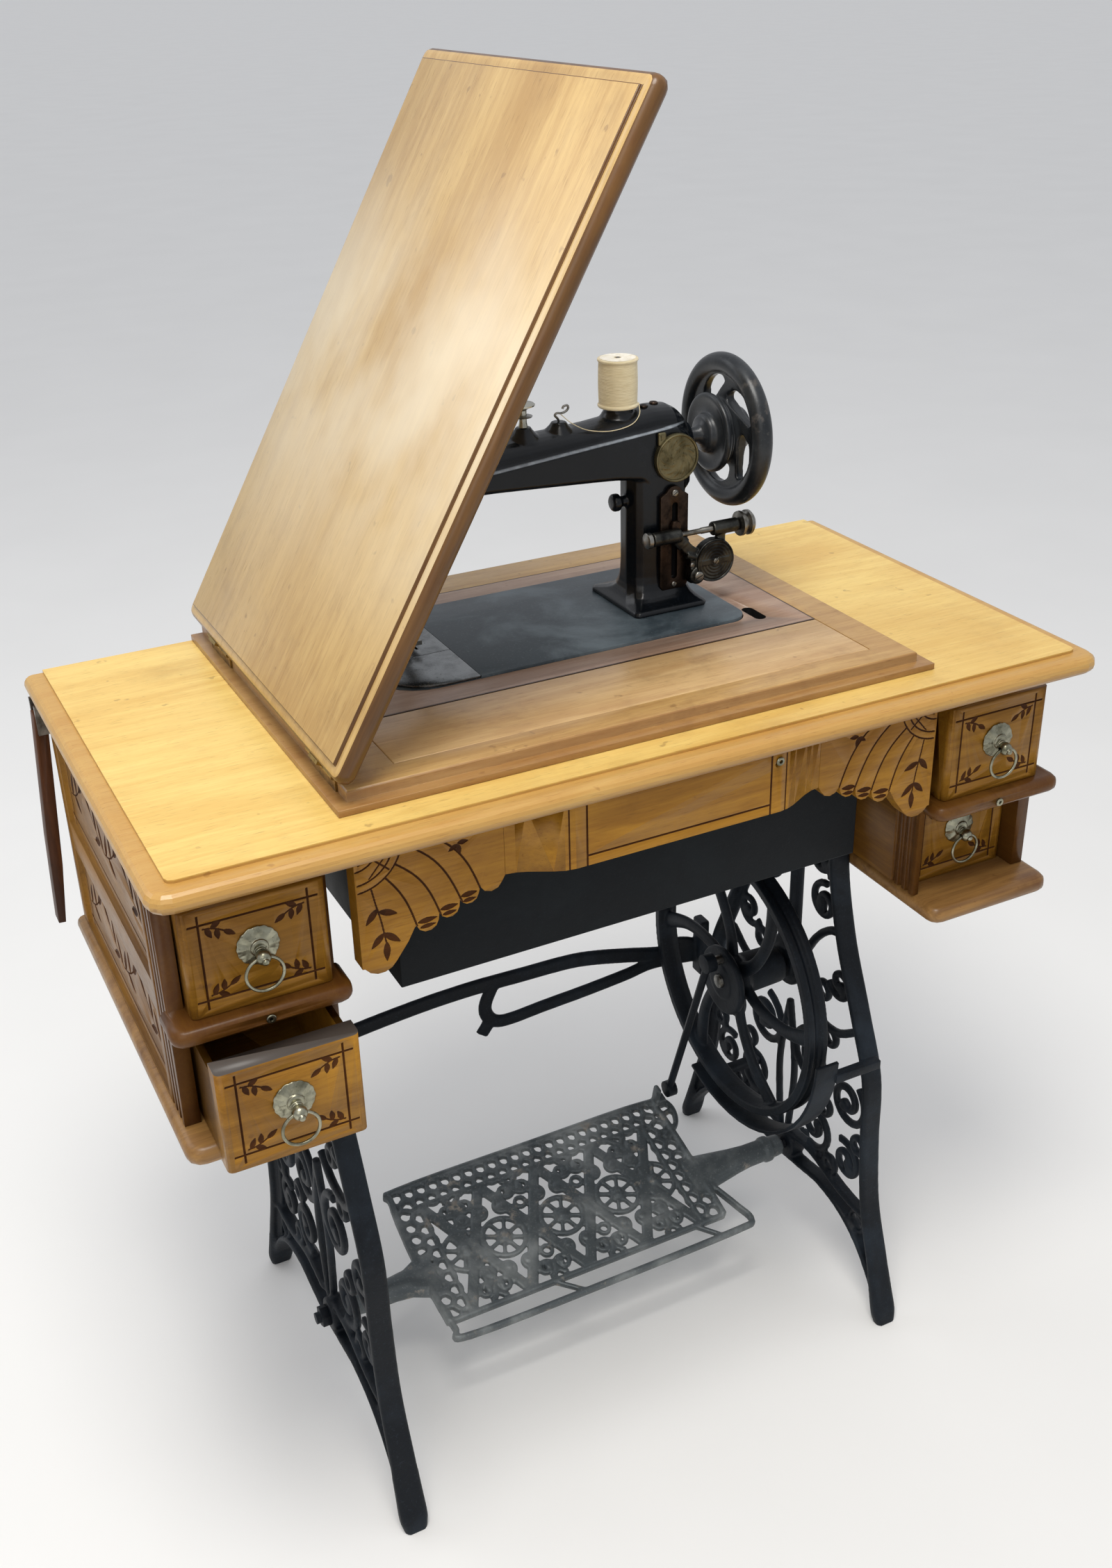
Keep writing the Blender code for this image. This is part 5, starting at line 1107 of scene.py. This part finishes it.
def hand_wheel():
    """Thick smooth rim, dished web with five curved openings, and the stepped belt pulley."""
    rim = sweep("h", [HAND + Vector((0, (HAND_R - 0.0098) * math.cos(a), (HAND_R - 0.0098) * math.sin(a)))
                      for a in angles(96)],
                ring_section(0.0100, 0.0098, 28), closed=True)
    web = turned("h", ((0, 0.0), (0.0160, 0.0), (0.0245, 0.0010), (0.0320, 0.0050), (0.0450, 0.0062),
                       (0.0600, 0.0058), (0.0600, 0.0142), (0.0450, 0.0150), (0.0320, 0.0145),
                       (0.0235, 0.0190), (0.0200, 0.0270), (0.0165, 0.0282), (0, 0.0282)),
                 (HAND.x - 0.0103, HAND.y, HAND.z), RIGHT, 72)
    holes = []
    for i in range(5):
        middle = math.radians(133 + 72 * i)
        outline = []
        for k in range(40):
            phi = math.tau * k / 40
            r = 0.0420 + 0.0112 * math.copysign(abs(math.sin(phi)) ** 0.8, math.sin(phi))
            a = middle + math.radians(25) * math.copysign(abs(math.cos(phi)) ** 0.9, math.cos(phi))
            a += math.radians(15) * (r - 0.042) / 0.0112
            outline.append((HAND.y + r * math.cos(a), HAND.z + r * math.sin(a)))
        holes.append(prism("hole", outline, HAND.x - 0.04, HAND.x + 0.04))
    subtract(web, holes)
    wheel = cast("hand_wheel", [rim, web], 0.0011, 6)
    show(wheel, "handwheel", "wheel_black", ("handwheel",), angle=60)
    pulley = turned("hand_pulley", ((0, -0.0210), (0.0072, -0.0210), (0.0074, -0.0030), (0.0092, -0.0010),
                                    (0.0100, 0.0010), (0.0150, 0.0022), (0.0176, 0.0036), (0.0184, 0.0060),
                                    (0.0190, 0.0088), (0.0204, 0.0098), (0.0236, 0.0104), (0.0272, 0.0106),
                                    (0.0306, 0.0100), (0.0328, 0.0092), (0.0348, 0.0090), (0.0368, 0.0098),
                                    (0.0378, 0.0114), (0.0378, 0.0132), (0.0370, 0.0150), (0.0345, 0.0162),
                                    (0.0322, 0.0172), (0.0316, 0.0182), (0.0330, 0.0196), (0.0326, 0.0204),
                                    (0, 0.0204)), (0.1858, HAND.y, HAND.z), RIGHT, 84)
    show(pulley, "handwheel", "wheel_black", ("belt_pulley",), angle=55)
    nut = turned("hand_nut", ((0, 0), (0.0098, 0), (0.0104, 0.0010), (0.0104, 0.0050), (0.0080, 0.0064),
                              (0, 0.0066)), (0.2340, HAND.y, HAND.z), RIGHT, 40)
    show(nut, "handwheel", "steel")


def face_screws():
    """Screws that hold the face plate."""
    low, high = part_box("face_plate")
    x, y = low[0] - ORIGIN.x, (low[1] + high[1]) / 2 - ORIGIN.y
    screws = [slotted_screw((x + 0.0002, y + dy, z - ORIGIN.z), (-1, 0, 0), 0.0034, 0.0016, turn)
              for dy, z, turn in ((0.0, high[2] - 0.0085, 0.5), (-0.012, low[2] + 0.0100, 1.2),
                                  (0.012, low[2] + 0.0100, 2.1))]
    show(join("face_screws", screws), "cabinet", "steel")


# ---------------------------------------------------------------- irons
def flat_bar(points, width, depth, closed=False, taper=None, plane="YZ"):
    """Bar along a flat path: width in the plane of the path, depth across it."""
    path = [Vector((0, p[0], p[1])) if plane == "YZ" else Vector((p[0], p[1], 0)) for p in points]
    section = bar_section(depth, width)
    up = RIGHT if plane == "YZ" else UP
    return sweep("bar", path, section, closed, taper, up)


def flat_curve(controls, steps=6):
    """Smooth flat path through the controls."""
    return [(p.x, p.y) for p in curve_through([(a, b, 0) for a, b in controls], steps)]


def scroll(centre, radius, start, turns, width, depth, plane="YZ", lift=0.0):
    """Spiral scroll ending in a round eye."""
    path = spiral(centre, radius, radius * 0.24, start, turns, 30)
    made = flat_bar(path, width, depth, plane=plane)
    eye = path[-1]
    if plane == "YZ":
        knob = turned("bar", ((0, -depth / 2), (width * 0.85, -depth / 2), (width * 0.85, depth / 2),
                              (0, depth / 2)), (0, eye[0], eye[1]), RIGHT, 14)
    else:
        knob = turned("bar", ((0, -depth / 2), (width * 0.9, -depth / 2), (width * 0.7, depth / 2 + lift),
                              (0, depth / 2 + lift)), (eye[0], eye[1], 0), UP, 14)
    return [made, knob]


def hoop(centre, radius, width, depth, plane="YZ", count=20):
    """Flat ring."""
    ring = [(centre[0] + radius * math.cos(a), centre[1] + radius * math.sin(a)) for a in angles(count)]
    return flat_bar(ring, width, depth, closed=True, plane=plane)


def side_frames():
    """Cast side frames: flanged legs, a centre post, arches and scrolls round the wheel's hub."""
    middle = -0.004
    pieces = []
    for s in (-1, 1):
        def half(*points):
            """Smooth curve through points given from the middle outward."""
            return flat_curve([(s * y + middle, z) for y, z in points], 6)
        leg = half(
            (0.092, -0.0225), (0.074, -0.130), (0.070, -0.250), (0.090, -0.340), (0.124, -0.420),
            (0.152, -0.490), (0.157, -0.570), (0.166, -0.650), (0.186, -0.715), (0.200, -0.762))
        pieces.append(flat_bar(leg, 0.0085, 0.0235, taper=lambda t: (1.0 + 0.18 * max(0, t - 0.75) * 4, 1.0)))
        rib = [(y - s * 0.006, z) for y, z in leg]
        pieces.append(flat_bar(rib[2:-2], 0.012, 0.0070))
        toe = [leg[-6], leg[-1], (leg[-1][0] + s * 0.0050, -0.7780), (leg[-1][0] + s * 0.0090, -0.7930)]

        def toe_taper(t):
            wide = 0.92 + 0.08 * math.sin(math.pi * t) - 0.26 * max(0, t - 0.7) * 2
            return wide, 0.55 + 0.42 * math.sin(math.pi * min(1, t * 0.75))
        pieces.append(flat_bar(flat_curve(toe, 5), 0.0150, 0.0285, taper=toe_taper))
        arch = half((0.203, -0.774), (0.183, -0.742), (0.156, -0.712), (0.122, -0.692), (0.082, -0.684),
                    (0.045, -0.688), (0.010, -0.692))
        pieces.append(flat_bar(arch, 0.0065, 0.0190))
        strut = half((0.010, -0.660), (0.060, -0.655), (0.110, -0.668), (0.150, -0.672), (0.172, -0.668))
        pieces.append(flat_bar(strut, 0.0070, 0.0150))
        pieces.append(hoop((s * 0.150 + middle, -0.690), 0.0125, 0.0055, 0.0090))
        # openings above the hub: a round-headed arch on each side of the post
        for curve, width in (
                (half((0.014, -0.250), (0.013, -0.110), (0.022, -0.066), (0.044, -0.052), (0.062, -0.068),
                      (0.066, -0.110), (0.060, -0.200), (0.060, -0.290)), 0.0075),
                (half((0.022, -0.452), (0.050, -0.470), (0.088, -0.470), (0.122, -0.448)), 0.0095),
                (half((0.020, -0.408), (0.042, -0.372), (0.066, -0.350), (0.088, -0.345)), 0.0095),
                (half((0.0, -0.480), (0.014, -0.560), (0.012, -0.620), (0.006, -0.668)), 0.0080)):
            pieces.append(flat_bar(curve, width, 0.0080))
        # each scroll's middle, radius, start on the right and on the left, turns and width
        for y, z, radius, right, left, turns, width in (
                (0.040, -0.268, 0.026, 90, 90, -1.3, 0.0088), (0.052, -0.322, 0.024, 100, 100, 1.4, 0.0082),
                (0.088, -0.405, 0.022, 200, -20, 1.3, 0.0080), (0.046, -0.532, 0.038, 95, 95, 1.55, 0.0095),
                (0.116, -0.545, 0.034, 60, 120, -1.5, 0.0092), (0.060, -0.618, 0.032, 250, -70, 1.4, 0.0090),
                (0.120, -0.625, 0.026, 120, 60, -1.4, 0.0086)):
            pieces += scroll((s * y + middle, z), radius, right if s > 0 else left, s * turns, width, 0.0075)
        for y, z in ((0.078, -0.4825), (0.076, -0.580), (0.092, -0.652), (0.140, -0.590), (0.060, -0.430)):
            pieces.append(hoop((s * y + middle, z), 0.0098, 0.0078, 0.0080))
    post = [(middle, z) for z in (-0.030, -0.150, -0.300, -0.415)]
    pieces.append(flat_bar(post, 0.0200, 0.0075))
    pieces.append(flat_bar(post, 0.0070, 0.0170))
    pieces.append(flat_bar([(-0.1080, -0.0290), (0.0995, -0.0290)], 0.0130, 0.0235))
    shade = [(-0.082, -0.048), (-0.004, -0.040), (0.074, -0.048)]
    pieces.append(flat_bar(shade, 0.0120, 0.0075))
    for y, z, r, thick in ((WHEEL.y, WHEEL.z, 0.0300, 0.0120), (WHEEL.y, WHEEL.z, 0.0200, 0.0200),
                           (PIVOT_Y, PIVOT_Z, 0.0180, 0.0205)):
        pieces.append(turned("bar", ((0, -thick / 2), (r * 0.94, -thick / 2), (r, -thick * 0.35),
                                     (r, thick * 0.35),
                                     (r * 0.94, thick / 2), (0, thick / 2)), (0, y, z), RIGHT, 40))
    frame_cast = cast("frame", pieces, 0.0019, 3)
    low = -TABLE_HEIGHT + 0.00005
    for vertex in frame_cast.data.vertices:
        vertex.co.z = max(vertex.co.z, low)
    for name, sign in (("left", -1), ("right", 1)):
        made = link(name + "_frame", frame_cast.data.copy())
        made.data.transform(Matrix.Translation((sign * FRAME_X, 0, 0)))
        bores = [bore((sign * 0.25, PIVOT_Y, PIVOT_Z), (sign * 0.33, PIVOT_Y, PIVOT_Z), 0.0066),
                 bore((sign * 0.25, WHEEL.y, WHEEL.z), (sign * 0.33, WHEEL.y, WHEEL.z), 0.0083)]
        subtract(made, bores)
        show(made, "cabinet", "iron", (name + "_side_frame",), angle=60)
    bpy.data.objects.remove(frame_cast)


def back_brace():
    """Arched brace between the frames, with a closed slot in its right half and a short foot."""
    end, y = 0.2725, 0.1660

    def bar(controls, width, deep=0.0080):
        path = [Vector((a, y, b)) for a, b in flat_curve(controls, 8)]
        return sweep("bar", path, bar_section(deep, width, 0.4), up=(0, 1, 0))
    arc = bar(((-end, -0.4870), (-0.200, -0.4730), (-0.110, -0.4640), (-0.040, -0.4613), (0.025, -0.4630),
               (0.085, -0.4650), (0.120, -0.4700), (0.165, -0.4810), (0.210, -0.4930), (end, -0.5050)),
              0.0200)
    low = bar(((end, -0.5130), (0.205, -0.5040), (0.165, -0.5085), (0.110, -0.5130), (0.055, -0.5160),
               (0.012, -0.5190), (-0.008, -0.5160), (-0.0190, -0.5040), (-0.0200, -0.4880),
               (-0.0100, -0.4660)), 0.0170)
    foot = bar(((-0.0140, -0.5060), (-0.0190, -0.5180), (-0.0270, -0.5290)), 0.0170, 0.0075)
    pieces = [arc, low, foot]
    for s in (-1, 1):
        pieces.append(box("bar", (min(s * end, s * (end - 0.012)), 0.1500, -0.5330),
                          (max(s * end, s * (end - 0.012)), 0.1705, -0.4570), 0.002))
        pieces.append(bar(((s * (end - 0.055), -0.4830), (s * (end - 0.020), -0.4930), (s * end, -0.5150)),
                          0.0200, 0.0070))
    show(cast("back_brace", pieces, 0.0015, 3), "cabinet", "iron", ("cross_brace",), angle=60)


def foot_plate():
    """Openwork treadle: rings round the border, a diamond trellis with scrolls, and its arms."""
    x1, y0 = 0.188, -0.088      # right end and front edge of the thin rod
    gx0, gx1, gy0, gy1 = -0.184, 0.156, -0.060, 0.112
    p = "XY"
    pieces = []

    def bar(points, width, depth):
        pieces.append(flat_bar(points, width, depth, plane=p))

    # outer bar at the back and ends, thin rod in front
    back = flat_curve([(gx0 + 0.001, gy0), (gx0 - 0.003, 0.02), (gx0 + 0.001, gy1 - 0.012),
                       (gx0 + 0.014, gy1 + 0.001),
                       (0.0, gy1 + 0.002), (gx1 - 0.012, gy1 + 0.001), (gx1 + 0.002, gy1 - 0.012),
                       (gx1 + 0.003, 0.02), (gx1, gy0)], 8)
    bar(back, 0.0065, 0.0120)
    bar([(gx0, gy0), (gx1, gy0)], 0.0060, 0.0090)
    front = flat_curve([(gx0 + 0.004, gy0 + 0.012), (gx0 + 0.004, y0 + 0.018), (gx0 + 0.016, y0 + 0.006),
                        (0.000, y0 + 0.004), (x1 - 0.030, y0 + 0.005), (x1 - 0.006, y0 + 0.010),
                        (x1 - 0.012, y0 + 0.034), (gx1 + 0.006, gy0 + 0.044)], 8)
    bar(front, 0.0060, 0.0100)
    bar(flat_curve([(-0.060, gy0), (-0.048, gy0 - 0.010), (-0.034, y0 + 0.006)], 5),
                           0.0050, 0.0070)
    bar(flat_curve([(0.118, gy0), (0.128, gy0 - 0.010), (0.140, y0 + 0.006)], 5),
                           0.0050, 0.0070)
    # inner bars and the rows of rings between them
    inset = 0.0275
    bar([(gx0 + inset, gy0), (gx0 + inset, gy1 - inset)], 0.0048, 0.0085)
    bar([(gx0 + inset, gy1 - inset), (gx1 - inset, gy1 - inset)], 0.0048, 0.0085)
    bar([(gx1 - inset, gy1 - inset), (gx1 - inset, gy0)], 0.0048, 0.0085)
    r = 0.0086
    for row, shift in ((0.0098, 0.0), (0.0215, 0.5)):
        count = 22
        step = (gx1 - gx0 - 2 * r) / count
        for i in range(count + (0 if shift else 1)):
            pieces.append(hoop((gx0 + r + step * (i + shift), gy1 - row), r, 0.0042, 0.0078, p, count=16))
        count = 8
        step = (gy1 - gy0 - 2 * r - 0.026) / count
        for i in range(count + (0 if shift else 1)):
            v = gy0 + r + step * (i + shift)
            pieces.append(hoop((gx0 + row - 0.0005, v), r, 0.0042, 0.0078, p, count=16))
            pieces.append(hoop((gx1 - row + 0.0005, v), r, 0.0042, 0.0078, p, count=16))
    # diamond trellis of flat bars
    ix0, ix1, iy0, iy1 = gx0 + inset, gx1 - inset, gy0, gy1 - inset
    middle = (iy0 + iy1) / 2
    pitch = (ix1 - ix0) / 4
    for i in range(4):
        for a, b in ((ix0 + pitch * i, ix0 + pitch * (i + 1)), (ix0 + pitch * (i + 1), ix0 + pitch * i)):
            bar([(a, iy0), (b, iy1)], 0.0122, 0.0064)
    for i in range(4):
        u = ix0 + pitch * (i + 0.5)
        for v, s in ((iy1, -1), (iy0, 1)):
            for side in (-1, 1):
                pieces += scroll((u + side * pitch * 0.145, v + s * 0.0180), 0.0128, -s * 90,
                                 -side * 1.35 * s, 0.0050, 0.0066, p, 0.001)
            pieces.append(hoop((u, v + s * 0.0380), 0.0062, 0.0044, 0.0066, p, count=12))
    for i in range(5):
        u = min(max(ix0 + pitch * i, ix0 + 0.024), ix1 - 0.024)
        pieces.append(hoop((u, middle), 0.0240, 0.0054, 0.0068, p, count=28))
        for k in range(8):
            a = math.tau * (k + 0.5) / 8
            bar([(u + 0.0080 * math.cos(a), middle + 0.0080 * math.sin(a)),
                                    (u + 0.0230 * math.cos(a), middle + 0.0230 * math.sin(a))],
                                   0.0042, 0.0062)
        pieces.append(turned("bar", ((0, -0.003), (0.0100, -0.003), (0.0105, 0.0020), (0.0066, 0.0034),
                                     (0.0045, 0.0060), (0, 0.0066)), (u, middle, 0), UP, 24))
        for s in (-1, 1):
            for side in (-1, 1):
                if ix0 + 0.012 < u + side * 0.012 < ix1 - 0.012:
                    pieces += scroll((u + side * 0.0135, middle + s * 0.0370), 0.0105, 90 * s, side * s * 1.3,
                                     0.0046, 0.0064, p, 0.001)
    # arms out to the pivots, and the forked lug for the rod
    for s in (-1, 1):
        start = gx0 - 0.001 if s < 0 else gx1 + 0.001
        pieces.append(loft("bar", [[(x, w * math.cos(a), h * math.sin(a)) for a in
                                    angles(20)] for x, w, h in (
            (start - s * 0.012, 0.0290, 0.0050), (start + s * 0.004, 0.0250, 0.0075),
            (s * 0.205, 0.0165, 0.0110),
            (s * 0.222, 0.0140, 0.0120), (s * 0.240, 0.0135, 0.0125), (s * 0.2600, 0.0128, 0.0122),
            (s * 0.2690, 0.0118, 0.0112))]))
        pieces.append(turned("bar", ((0, 0), (0.0140, 0), (0.0152, 0.0015), (0.0152, 0.0085),
                                     (0.0140, 0.0100),
                                     (0, 0.0100)), (s * 0.2440, 0, 0), (s, 0, 0), 32))
    lug = flat_curve([(gx1 - 0.010, 0.060), (0.168, 0.072), (0.176, 0.092), (0.172, 0.108), (0.160, 0.113),
                      (0.148, 0.108)], 6)
    bar(lug, 0.0060, 0.0090)
    bar([(0.150, 0.084), (0.166, 0.092), (0.175, 0.094)], 0.0055, 0.0080)
    pieces.append(box("bar", (0.158, 0.1015, -0.0040), (0.1718, 0.1150, 0.0120), 0.002))
    pieces.append(box("bar", (0.158, 0.1040, 0.0), (0.1640, 0.1160, 0.0290), 0.0022))
    plate = cast("treadle_plate", pieces, 0.0013, 2)
    low = -0.0058
    for vertex in plate.data.vertices:
        if abs(vertex.co.x) < 0.195:
            vertex.co.z = max(vertex.co.z, low)
    sockets = [bore((s * 0.2610, 0, 0), (s * 0.29, 0, 0), 0.0070) for s in (-1, 1)]
    subtract(plate, sockets)
    plate.data.transform(Matrix.Translation((0, PIVOT_Y, PIVOT_Z)) @ Matrix.Rotation(TREADLE_TILT, 4, "X"))
    show(plate, "treadle", "treadle_iron", ("treadle",), angle=60)


def wheel():
    """Drive wheel: flanged rim with its belt groove, six swept spokes, hub and crank plate."""
    r, half = WHEEL_R, 0.012
    rim = turned("w", ((r - 0.0105, half - 0.001), (r - 0.0095, half), (r - 0.0008, half), (r, half - 0.0008),
                       (r, 0.0046), (r - 0.0042, 0.0008), (r - 0.0042, -0.0008), (r, -0.0046),
                       (r, -half + 0.0008),
                       (r - 0.0008, -half), (r - 0.0095, -half), (r - 0.0105, -half + 0.001),
                       (r - 0.0125, -0.003), (r - 0.0125, 0.003), (r - 0.0105, half - 0.001)),
                 WHEEL, RIGHT, 120)
    pieces = [rim]
    for i in range(6):
        turn = math.tau * i / 6
        path = curve_through([(0, 0.012, 0.0), (0, 0.050, 0.014), (0, 0.100, 0.012),
                              (0, r - 0.008, -0.008)], 10)
        spoke = sweep("w", path, ring_section(0.0052, 0.0088, 16), up=RIGHT,
                      scale=lambda t: (1.0, 1.25 - 0.85 * math.sin(math.pi * min(1, t * 0.95 + 0.04)) * 0.5))
        spoke.data.transform(Matrix.Translation(WHEEL) @ Matrix.Rotation(turn, 4, "X"))
        pieces.append(spoke)
    pieces.append(turned("w", ((0, -0.0210), (0.0205, -0.0210), (0.0220, -0.0195), (0.0230, -0.008),
                               (0.0290, 0.0),
                               (0.0230, 0.008), (0.0215, 0.0500), (0.0205, 0.0545), (0, 0.0545)),
                         WHEEL, RIGHT, 48))
    pieces.append(turned("w", ((0, -0.0200), (0.0385, -0.0200), (0.0400, -0.0185), (0.0400, -0.0140),
                               (0.0385, -0.0128), (0, -0.0128)), WHEEL, RIGHT, 56))
    made = cast("wheel", pieces, 0.0014, 2)
    subtract(made, [bore((0.15, WHEEL.y, WHEEL.z), (0.32, WHEEL.y, WHEEL.z), 0.0083)])
    show(made, "drive_wheel", "iron", ("drive_wheel",), angle=60)
    pin = turned("crank_pin", ((0, 0), (0.0050, 0), (0.0056, 0.0006), (0.0056, 0.0130), (0, 0.0130)),
                 (WHEEL.x - 0.0300, WHEEL.y, WHEEL.z + 0.0285), RIGHT, 32)
    show(pin, "drive_wheel", "steel")


def softened(node, body, kind, width, pierced):
    """The CAD node's shape with its sharp edges eased. A pierced node keeps its openings."""
    made = copy_of(node, node + "_eased", kind)
    with edited(made.data) as bm:
        bmesh.ops.remove_doubles(bm, verts=bm.verts, dist=1e-6)
        if pierced:
            bmesh.ops.join_triangles(bm, faces=bm.faces, angle_face_threshold=0.02,
                                     angle_shape_threshold=math.pi)
        else:
            bmesh.ops.dissolve_limit(bm, angle_limit=math.radians(1), verts=bm.verts, edges=bm.edges)
    ease = made.modifiers.new("Bevel", "BEVEL")
    ease.width, ease.segments, ease.limit_method = width, 2, "ANGLE"
    ease.angle_limit = math.radians(35)
    ease.use_clamp_overlap = True
    return show(bake(made), body, None, (node,), local=False)


def paint_edge_shade(board, material):
    """Gives an eased board's edges a darker copy of its wood: painted shade on the edges."""
    board.data.materials.append(material)
    face = max(board.data.polygons, key=lambda p: p.area).normal.copy()
    for poly in board.data.polygons:
        if abs(poly.normal.dot(face)) < 0.94:
            poly.material_index = 1


# ---------------------------------------------------------------- stage
def stage():
    """Floor, studio light and the camera at the photograph's angle."""
    far = 400
    floor = solid("floor", [(-far, -far, 0), (far, -far, 0), (far, far, 0), (-far, far, 0)], [(0, 1, 2, 3)])
    floor.data.materials.append(M["floor"])
    world = bpy.data.worlds.new("studio")
    bpy.context.scene.world = world
    world.use_nodes = True
    tree = world.node_tree
    sky = tree.nodes["Background"]
    sky.inputs[0].default_value = (0.93, 0.95, 1.0, 1)
    split = tree.nodes.new("ShaderNodeSeparateXYZ")
    rise = tree.nodes.new("ShaderNodeMapRange")
    rise.inputs["To Min"].default_value, rise.inputs["To Max"].default_value = 0.50, 0.80
    tree.links.new(tree.nodes.new("ShaderNodeTexCoord").outputs["Generated"], split.inputs[0])
    tree.links.new(split.outputs[2], rise.inputs["Value"])
    tree.links.new(rise.outputs[0], sky.inputs[1])
    for name, place, size, power, tint in (
            ("key", (-0.55, -0.75, 3.1), 1.2, 50, (1.0, 0.97, 0.92)),
            ("front", (-1.5, -2.0, 2.0), 1.6, 9, (1.0, 0.96, 0.90)),
            ("back", (-1.6, 1.7, 2.5), 1.6, 10, (0.95, 0.97, 1.0))):
        light = bpy.data.lights.new(name, "AREA")
        light.shape = "DISK"
        light.size = size
        light.energy = power
        light.color = tint
        lamp = bpy.data.objects.new(name, light)
        bpy.context.scene.collection.objects.link(lamp)
        lamp.location = place
        lamp.rotation_euler = (ORIGIN - Vector(place)).to_track_quat("-Z", "Y").to_euler()
    camera = bpy.data.cameras.new("camera")
    camera.sensor_fit = "VERTICAL"
    camera.sensor_height, camera.lens = 36, 37.07
    eye = bpy.data.objects.new("camera", camera)
    bpy.context.scene.collection.objects.link(eye)
    eye.location = Vector((-0.62144, -1.24420, 0.59699)) + ORIGIN
    eye.rotation_euler = [math.radians(a) for a in (62.3510, 1.2742, -27.0378)]
    bpy.context.scene.camera = eye
    bpy.context.scene.view_settings.view_transform = "Standard"


stage()
for node_name, finish in (
        ("table_top", "top"), ("leaf_support_hinge", "steel"), ("lid_hinge_front", "brass"),
        ("lid_hinge_back", "brass"), ("lid_hinge_leaf_front", "brass"), ("lid_hinge_leaf_back", "brass"),
        ("needle_plate", "plate"), ("needle_bar", "steel"), ("presser_foot", "steel"),
        ("presser_screw", "nickel"), ("take_up_lever", "steel"), ("thread_tension", "nickel")):
    repaint(node_name, finish)
for make in (board_slot, carved_drawers, carved_brackets, carved_cases, carved_apron, pulls, lock_bushings,
             arm, thread_spool, thread_fittings, medallion, regulator, winder, hand_wheel, face_screws,
             side_frames, back_brace, foot_plate, wheel):
    make()
PIERCED = ("raised_rim", "pitman", "face_plate", "leaf_support", "machine_bed", "slide_plate_front")
for eased, owner, finish, width in (
        ("belt_guard", "cabinet", "iron", 0.0010),
        ("treadle_pivot_left", "cabinet", "iron", 0.0006), ("treadle_pivot_right", "cabinet", "iron", 0.0006),
        ("wheel_axle", "cabinet", "steel", 0.0006), ("pitman", "pitman", "iron", 0.0008),
        ("left_base_shelf", "cabinet", "shelf", 0.0008), ("right_base_shelf", "cabinet", "shelf", 0.0008),
        ("raised_rim", "cabinet", "rim", 0.0010), ("lid_board", "lid", "lid", 0.0009),
        ("front_flap", "front_flap", "flap", 0.0010), ("face_plate", "cabinet", "nickel", 0.0012),
        ("dust_box", "cabinet", "tin", 0.0015), ("leaf_support", "leaf_support", "dark_wood", 0.0010),
        ("machine_bed", "cabinet", "bed", 0.0006), ("slide_plate_front", "slide_plate", "plate", 0.0003)):
    made = softened(eased, owner, finish, width, eased in PIERCED)
    if eased == "lid_board":
        paint_edge_shade(made, M["lid_edge"])
